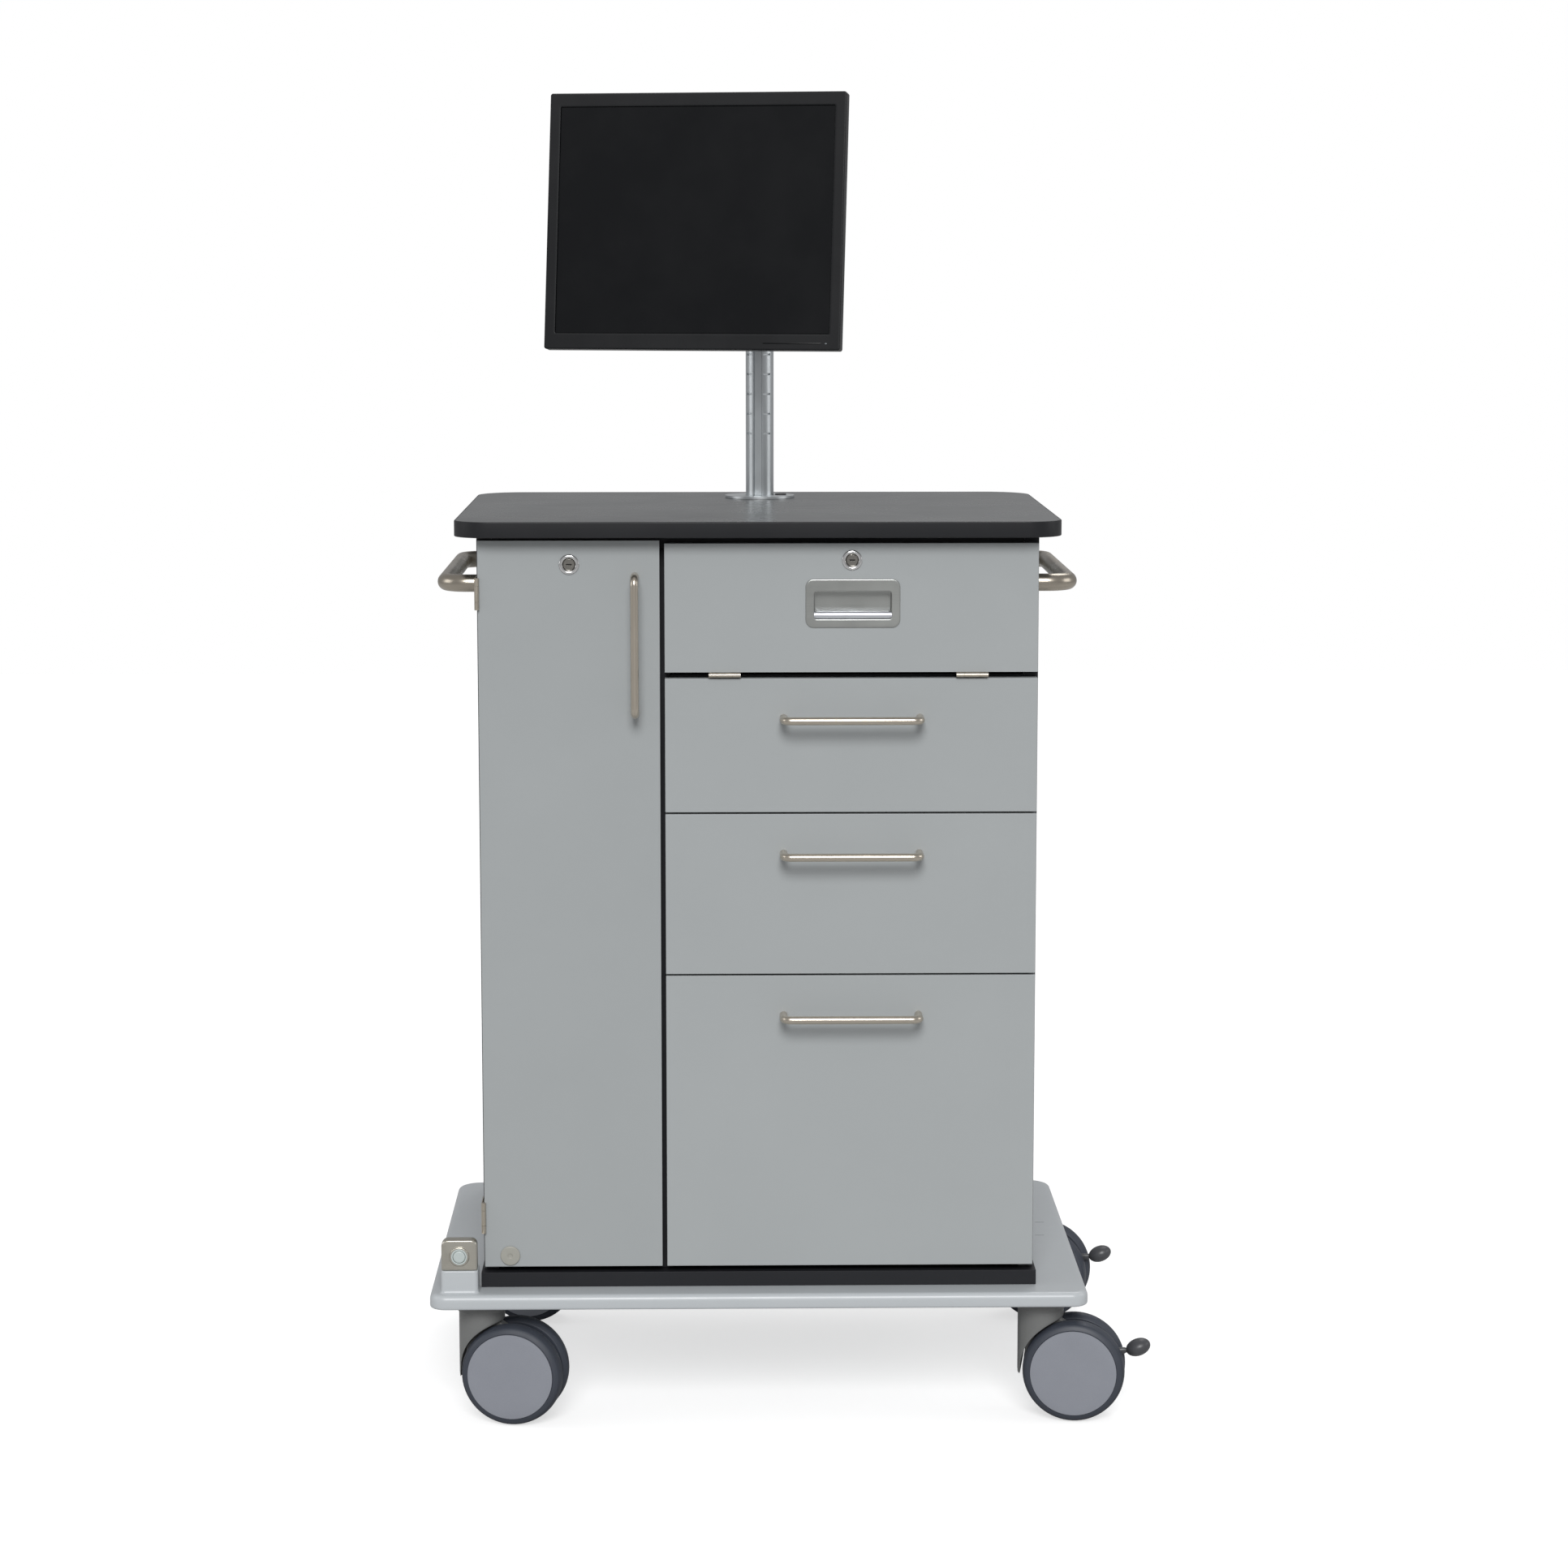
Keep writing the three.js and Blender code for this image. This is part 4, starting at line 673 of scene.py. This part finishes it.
# ---------------------------------------------------------------------------------------------
# Push button: a formed steel cover on the riser, with a round bezel and a pale plunger that a spring
# pushes out of it.
cover_steel = finish("cover steel", "B9B5AA", "C9C6BC", (0.3, 0.42), 1.0, drawn=((5.0, 5.0, 1800.0), 0.9),
                     bump=0.12, depth=0.00004)
plunger_plastic = finish("plunger", "AFB8B6", "BBC4C2", (0.25, 0.38), broad=(60.0, 0.4), bump=0.1)
carried("button_cover", cover_steel, 0.9, 3)
low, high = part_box("push_button")
middle = (low + high) / 2
reach = (high.x - low.x) / 2
plunger = eased([(0, -low.y), (reach - 2 * MM, -low.y), (reach, -low.y - 0.6 * MM), (reach, -high.y),
                 (0, -high.y)], [1 * MM, 0.8 * MM, 0.3 * MM], 5)
ring = eased([(7.8, 1.6), (7.8, 2.7), (9.7, 2.7), (9.7, 1.6)], [0.4, 0.6], 4) * MM
make("plunger_collar", "cart_body", skin(turned(ring, (middle.x, cover_front, middle.z)), loop=True),
     plunger_plastic)
make("plunger_cap", "button", skin(turned(plunger, (middle.x, 0, middle.z)), ends=False), plunger_plastic,
     "push_button")

# ---------------------------------------------------------------------------------------------
# Post and its flange. The post is an extruded aluminium tube, satin anodised, with a channel down its front
# and a row of pressed notches on both sides of it. A steel disc covers its bore in the worktop.
POST_RADIUS = 18
CHANNEL = {"half": 5.5, "depth": 4, "turn": -9}
NOTCH = {"half": 5, "depth": 2.5, "height": 2.4, "first": 82, "pitch": 25.4, "turn": 40}

post_anodised = finish("post anodised", "C0C5C8", "D5DADC", (0.28, 0.4), 1.0, drawn=((420.0, 420.0, 3.0), 0.8),
                       bump=0.1, depth=0.00004)
flange_steel = finish("flange steel", "C2C6C8", "D2D6D8", (0.3, 0.42), 1.0, broad=(50.0, 0.5), bump=0.1,
                      depth=0.00004)


def post():
    """Radius over angle and height: 18, less where a chord cuts it, which lies at (distance / cos a) from
    the axis. The channel's chord runs the whole way up; a notch's only between its foot and its head."""
    worktop_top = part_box("worktop")[1].z
    channel_edge = math.degrees(math.asin(CHANNEL["half"] / POST_RADIUS))
    notch_edge = math.degrees(math.asin(NOTCH["half"] / POST_RADIUS))
    edges = [0, -channel_edge, channel_edge]
    edges += [sign * NOTCH["turn"] + way * notch_edge for sign in (-1, 1) for way in (-1, 1)]
    edges = np.ravel(np.array(edges)[1:, None] + [-0.25, 0.25])
    angle = np.unique(np.round(np.r_[np.arange(-180, 180, 4.0), edges], 3))
    count = int((post_high.z - worktop_top - NOTCH["first"] * MM) / (NOTCH["pitch"] * MM))
    feet = worktop_top + (NOTCH["first"] + NOTCH["pitch"] * np.arange(count)) * MM
    ends = feet[:, None] + np.array([-0.1, 0.1, NOTCH["height"] - 0.1, NOTCH["height"] + 0.1]) * MM
    height = np.unique(np.r_[post_low.z, np.ravel(ends), post_high.z - 0.8 * MM, post_high.z])
    radius = np.full((len(height), len(angle)), float(POST_RADIUS))
    within = np.any((height[:, None] > feet) & (height[:, None] < feet + NOTCH["height"] * MM), 1)
    for sign in (-1, 1):
        turn = angle - sign * NOTCH["turn"]
        chord = (POST_RADIUS - NOTCH["depth"]) / np.cos(np.radians(np.clip(turn, -60, 60)))
        cut = within[:, None] & (np.abs(turn) < notch_edge)
        radius = np.where(cut, np.minimum(radius, chord), radius)
    chord = (POST_RADIUS - CHANNEL["depth"]) / np.cos(np.radians(np.clip(angle, -60, 60)))
    radius = np.where(np.abs(angle) < channel_edge, np.minimum(radius, chord), radius)
    radius[-1] -= 0.7
    turn = np.radians(angle + CHANNEL["turn"] - 90)
    grid = np.stack([post_x + radius * MM * np.cos(turn), post_y + radius * MM * np.sin(turn),
                     np.broadcast_to(height[:, None], radius.shape)], -1)
    make("post_tube", "cart_body", skin(grid), post_anodised, "post", crease=28)


post()
carried("post_flange", flange_steel, 0.7, 3, 50)
low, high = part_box("post_flange")
slot_x = post_x + 27 * MM
oval = corner_arcs(slot_x - 5.8 * MM, slot_x + 5.8 * MM, post_y - 3.8 * MM, post_y + 3.8 * MM, 3.4 * MM, 8)
lip = eased([(1.6 * MM, low.z), (0, low.z), (0, high.z + 0.1 * MM), (-1.6 * MM, high.z + 0.1 * MM),
             (-1.6 * MM, high.z + 1.6 * MM), (1.6 * MM, high.z + 1.6 * MM)], 0.5 * MM, 4)
grommet_rubber = finish("grommet", "1B1B1C", "262627", (0.5, 0.65), broad=(60.0, 0.5), bump=0.15)
make("cable_grommet", "cart_body", skin(rings(oval, lip), loop=True), grommet_rubber)

# ---------------------------------------------------------------------------------------------
# Monitor arm: a clamp collar with its knob, a short cast arm that swings on it, and the swivelling head
# with the tilting bracket. Cast and machined metal, coated dark but for the arm.
dark_cast = finish("dark coated casting", "202124", "2C2D30", (0.42, 0.55), broad=(30.0, 0.4), fine=(900.0, 0.6),
                   bump=0.35, depth=0.0001)
carried("post_collar", dark_cast, 0.9, 3, 40)
carried("monitor_arm", post_anodised, 1.2, 3, 40)
carried("monitor_head", dark_cast, 0.8, 3, 40)
carried("monitor_bracket", dark_cast, 0.8, 3, 40)

# ---------------------------------------------------------------------------------------------
# Monitor: a charcoal housing moulded in one with its bezel, a panel with an anti-glare film set back in it,
# and a strip of buttons and a status light at its lower right. The housing's back swells over its
# electronics.
MONITOR = {"width": 380, "height": 321, "rim": 20, "depth": 55, "reach": 75}
BEZEL = {"side": 13.8, "top": 17, "bottom": 20, "recess": 4.0}

monitor_plastic = finish("monitor moulding", "0E0F12", "161719", (0.38, 0.5), broad=(9.0, 0.4),
                         fine=(1100.0, 0.6), bump=0.3, depth=0.00008, specular_ior_level=0.25)
film = finish("anti-glare film", "0E0F11", "141517", (0.3, 0.4), broad=(3.0, 0.5), fine=(2200.0, 0.4),
              bump=0.05, depth=0.00002, specular_ior_level=0.12)
tilt = joints["monitor_tilt"]
tilt_axis, tilt_place = np.array(tilt["axis"]), np.array(tilt["pos_m"])
TILT = math.radians(-7.6)


def on_face(plan):
    """Points given as (across, up, behind the face) in millimetres, moved to where the monitor hangs."""
    across, up, behind = np.moveaxis(np.asarray(plan, float) * MM, -1, 0)
    back = behind - MONITOR["reach"] * MM
    level = np.array([-tilt_axis[1], tilt_axis[0], 0])
    y = back * math.cos(TILT) - up * math.sin(TILT)
    z = back * math.sin(TILT) + up * math.cos(TILT)
    return tilt_place + across[..., None] * tilt_axis + y[..., None] * level + z[..., None] * [0, 0, 1]


def monitor_housing():
    """Rings of round-cornered rectangles: from the panel's pocket over the bezel, round the rim, over the
    back and its swell."""
    half, tall = MONITOR["width"] / 2, MONITOR["height"] / 2
    pocket = corner_arcs(BEZEL["side"] - half, half - BEZEL["side"], BEZEL["bottom"] - tall,
                         tall - BEZEL["top"], 1.5, 12)
    rim = corner_arcs(-half, half, -tall, tall, 3, 12)
    swell = corner_arcs(-half * 0.7, half * 0.7, -tall * 0.7, tall * 0.65, 22, 12)
    inner = eased([(1, BEZEL["recess"]), (0, BEZEL["recess"]), (0, 0), (-3, 0)], [0.1, 0.9])
    outer = eased([(2.5, 0), (0, 0), (0, MONITOR["rim"]), (2.8, MONITOR["rim"])], [1.4, 2.4], 5)
    back = eased([(-6, MONITOR["rim"]), (0, MONITOR["rim"] + 4), (3, MONITOR["depth"]), (19, MONITOR["depth"])],
                 [4, 12], 6)
    stack = np.concatenate([rings(pocket, inner), rings(rim, outer), rings(swell, back)])
    points, faces = skin(stack)
    make("monitor_case", "monitor", (on_face(points), faces), monitor_plastic, "monitor_housing")


def lower_bezel(name, left, right, foot, head, material):
    """A flat bar with round ends on the bezel, 0.1 mm out of it. Its foot and head are heights above the
    housing's lower edge."""
    tall = MONITOR["height"] / 2
    plan = corner_arcs(left, right, foot - tall, head - tall, (head - foot) * 0.48, 6)
    points, faces = skin(rings(plan, [(0, 0.5), (0, -0.05), (0.1, -0.1)]))
    make(name, "monitor", (on_face(points), faces), material)


monitor_housing()
# The vents are thin near-black slabs just proud of the back: painted shade standing in for open slots.
vents = []
for row in (58, 82):
    for across in np.linspace(-98, 98, 29):
        plan = corner_arcs(across - 1.3, across + 1.3, row - 8, row + 8, 1.2, 4)
        vents.append(skin(rings(plan, [(0, MONITOR["depth"] - 0.6), (0, MONITOR["depth"] + 0.08)])))
vent_painted_shade = finish("vent slots", "060607", "0C0C0D", (0.6, 0.7), broad=(90.0, 0.4), bump=0.05,
                    specular_ior_level=0.15)
points, faces = together(*vents)
make("vent_slots", "monitor", (on_face(points), faces), vent_painted_shade)
strip_plastic = finish("button strip", "08090A", "101113", (0.3, 0.4), broad=(80.0, 0.4), bump=0.05,
                       specular_ior_level=0.2)
light_plastic = finish("status light", "5F6468", "777C80", (0.3, 0.4), broad=(80.0, 0.4), bump=0.05)
lower_bezel("monitor_buttons", 92, 166, 7.2, 9.0, strip_plastic)
lower_bezel("status_light", 171, 173.4, 7.4, 8.8, light_plastic)
carried("monitor_screen", film, 0.4, 2)

# ---------------------------------------------------------------------------------------------
# Casters: four twin-wheel swivel casters, screwed to the base. A nylon hood turns on the collar over two
# wheels: each is a moulded disc with a softer grey tyre on it. The two on the right have a brake pedal.
WHEEL = {"radius": 62.5, "face": 35, "gap": 8.5, "disc": 52.6, "axle": 5}
HOOD = {"radius": 29.5, "offset": 3.5, "collar": 12.5, "trail": 45, "arch": 65.5, "foot": -8,
        "cheek": (3.6, 7.6), "web": 4.2}
STUB_CLEARANCE = 0.1
PEDAL = {"pivot": (65, 84.5), "bar": 48, "pad": (123.3, 88.6), "half": (15.5, 13, 10.5), "tip": 22}

hood_nylon = finish("caster nylon", "666766", "747574", (0.36, 0.5), broad=(25.0, 0.4), fine=(800.0, 0.5),
                    bump=0.25, depth=0.0001)
tyre_rubber = finish("tyre", "2F333C", "3C414B", (0.5, 0.65), broad=(30.0, 0.6), fine=(900.0, 0.6), bump=0.25,
                     depth=0.0001)
disc_nylon = finish("wheel disc", "7E8189", "8C8F97", (0.34, 0.46), broad=(30.0, 0.5), fine=(700.0, 0.4),
                    bump=0.15, depth=0.00008)
pedal_nylon = finish("pedal", "3C3D40", "494A4D", (0.36, 0.5), broad=(40.0, 0.5), fine=(800.0, 0.5), bump=0.25,
                     depth=0.0001)


def under_swivel(name, points):
    """Points given in millimetres as (ahead of the swivel, along the axle, up), moved to their caster."""
    turns = joints[f"caster_swivel_{name}"]["pos_m"]
    axle = np.array(joints[f"wheel_spin_{name}"]["axis"])
    ahead = np.cross(axle, (0, 0, 1))
    points = points * MM
    placed = np.array([turns[0], turns[1], 0]) + points[:, :1] * ahead + points[:, 1:2] * axle
    placed[:, 2] += points[:, 2]
    return placed


def hood(name):
    """Round column under the collar, hollowed over the wheels. Its outline is a circle at every height, and
    its foot is the higher of a level and the wheel arch: axle + sqrt(reach^2 - (x - trail)^2). Between the
    wheels a web with two cheeks reaches the axle and the pedal's pivot."""
    trail, level = HOOD["trail"], joints[f"wheel_spin_{name}"]["pos_m"][2] / MM
    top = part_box(f"caster_housing_{name}")[1].z / MM
    turn = np.linspace(0, 2 * np.pi, 96, endpoint=False)
    circle = np.stack([np.cos(turn), np.sin(turn)], -1)
    radius, seam = HOOD["radius"], top - HOOD["collar"]

    def arch(x):
        under = np.clip(HOOD["arch"] ** 2 - (x - trail) ** 2, 0, None)
        return np.maximum(level + HOOD["foot"], np.where(under > 0, level + np.sqrt(under), 0))

    sides = eased([(0, top), (radius, top), (radius, seam), (radius - 1.2, seam - 0.4), (radius - 1.4, seam - 3)],
                  [1.5, 0.4, 0.3], 4)
    upper = [np.column_stack([r * circle + [HOOD["offset"], 0], np.full(96, z)]) for r, z in sides]
    rim = (radius - 1.4) * circle + [HOOD["offset"], 0]
    foot = arch(rim[:, 0])
    lower = []
    for share in (0.25, 0.5, 0.75, 0.93):
        lower.append(np.column_stack([rim, np.minimum(seam - 3, foot * share + (seam - 3) * (1 - share))]))
    for share in (0.985, 0.95, 0.9, 0.7, 0.4, 0.0):
        inside = share * (rim - [HOOD["offset"], 0]) + [HOOD["offset"], 0]
        lower.append(np.column_stack([inside, np.minimum(seam - 4, arch(inside[:, 0]))]))
    column = skin(np.array([*upper, *lower]), ends=False)
    cheek = eased([(-5, 66), (-16, 74), (-12, 134), (12, 134), (36, 117), (60, 107), (74, 92), (68, 76), (56, 50),
                   (38, 44), (6, 58), (-5, 66)], 6, 4)[:-1]
    web = eased([(-14, 104), (-12, 134), (12, 134), (36, 117), (52, 100), (55, 50), (38, 44), (6, 58), (-16, 74),
                 (-14, 104)], 6, 4)[:-1]
    near, far = HOOD["cheek"]
    plates = [skin(rings(plan[::-1], [(0.6, low), (0, low + 0.6), (0, high - 0.6), (0.6, high)]))
              for plan, low, high in ((cheek, -far, -near), (cheek, near, far), (web, -HOOD["web"], HOOD["web"]))]
    plates = [(points[:, [0, 2, 1]], faces) for points, faces in plates]
    points, faces = together(column, *plates)
    make(f"caster_hood_{name}", f"caster_{name}", (under_swivel(name, points), faces), hood_nylon,
         f"caster_housing_{name}", crease=40)


def wheel_pair(name):
    """Tyres and discs turned about the axle: point = centre + y axle + r (cos a, sin a) square to it. The
    axle shows as a stub on each disc that ends just clear of the hood's cheek."""
    spin = joints[f"wheel_spin_{name}"]
    axle, centre = np.array(spin["axis"]), np.array(spin["pos_m"])
    level = np.cross(axle, (0, 0, 1))
    face, gap, reach, disc = WHEEL["face"], WHEEL["gap"], WHEEL["radius"], WHEEL["disc"]
    tyre = eased([(disc, gap + 1), (reach - 5, gap), (reach, gap + 5), (reach, face - 11), (reach - 3, face - 5),
                  (disc + 0.6, face - 2.6), (disc, face - 3.4)], [1, 3, 5, 4, 0.6], 5)
    dish = eased([(0, face), (25, face - 0.2), (47, face - 0.7), (disc, face - 1.4), (disc, gap + 1), (5, gap),
                  (0, gap)], [8, 6, 0.9, 0.5, 0.5], 5)
    turn = np.linspace(0, 2 * np.pi, 72, endpoint=False)

    def placed(profile, way, loop):
        radius, along = profile.T * MM
        spoke = np.cos(turn)[:, None] * level + np.sin(turn)[:, None] * [0, 0, 1]
        grid = centre + way * along[:, None, None] * axle + radius[:, None, None] * spoke
        return skin(grid, ends=False, loop=loop)

    body = f"wheels_{name}"
    make(f"tyres_{name}", body, together(placed(tyre, -1, True), placed(tyre, 1, True)), tyre_rubber,
         f"caster_wheels_{name}")
    end = HOOD["cheek"][1] + STUB_CLEARANCE
    stub = np.array([(0, end), (WHEEL["axle"], end), (WHEEL["axle"], gap + 2), (0, gap + 2)], float)
    discs = together(*[placed(profile, way, False) for profile in (dish, stub) for way in (-1, 1)])
    make(f"wheel_discs_{name}", body, discs, disc_nylon)


def pedal(name):
    """A leaf-shaped pad, which is an ellipsoid with half axes 15.5, 13 and 10.5, tipped up by 22 degrees; a bar
    whose rings shrink from the pivot to the pad; and the pivot's boss, turned about the pivot's line."""
    around = np.linspace(0, 2 * np.pi, 48, endpoint=False)
    down = np.linspace(0, np.pi, 25)[:, None]
    (pivot, height), (middle, rise) = PEDAL["pivot"], PEDAL["pad"]
    half_long, half_wide, half_thick = PEDAL["half"]
    tip = math.radians(PEDAL["tip"])
    long, thick = half_long * np.cos(down), half_thick * np.sin(down) * np.sin(around)
    pad = np.stack([middle + long * math.cos(tip) - thick * math.sin(tip),
                    half_wide * np.sin(down) * np.cos(around),
                    rise + long * math.sin(tip) + thick * math.cos(tip)], -1)
    steps = np.linspace(0, 1, 9)[:, None]
    reach = np.sin(np.pi / 2 * np.clip(8 * np.minimum(steps, 1 - steps) + 0.15, 0, 1))
    bar = np.stack([pivot + PEDAL["bar"] * steps + 0 * around, 3 * reach * np.cos(around),
                    height - 1.5 * np.sin(np.pi * steps) + (5.2 - 1.4 * steps) * reach * np.sin(around)], -1)
    boss = [(0, -3.2), (6.4, -3.2), (7, -2.6), (7, 2.6), (6.4, 3.2), (0, 3.2)]
    radius, along = np.array(boss, float).T[:, :, None]
    boss = np.stack([pivot + radius * np.cos(around), along + 0 * around, height + radius * np.sin(around)], -1)
    points, faces = together(skin(pad, ends=False), skin(bar), skin(boss, ends=False))
    make(f"pedal_{name}", f"pedal_{name}", (under_swivel(name, points), faces), pedal_nylon,
         f"brake_pedal_{name}")


for name in ("front_left", "front_right", "rear_left", "rear_right"):
    hood(name)
    wheel_pair(name)
    if name.endswith("right"):
        pedal(name)
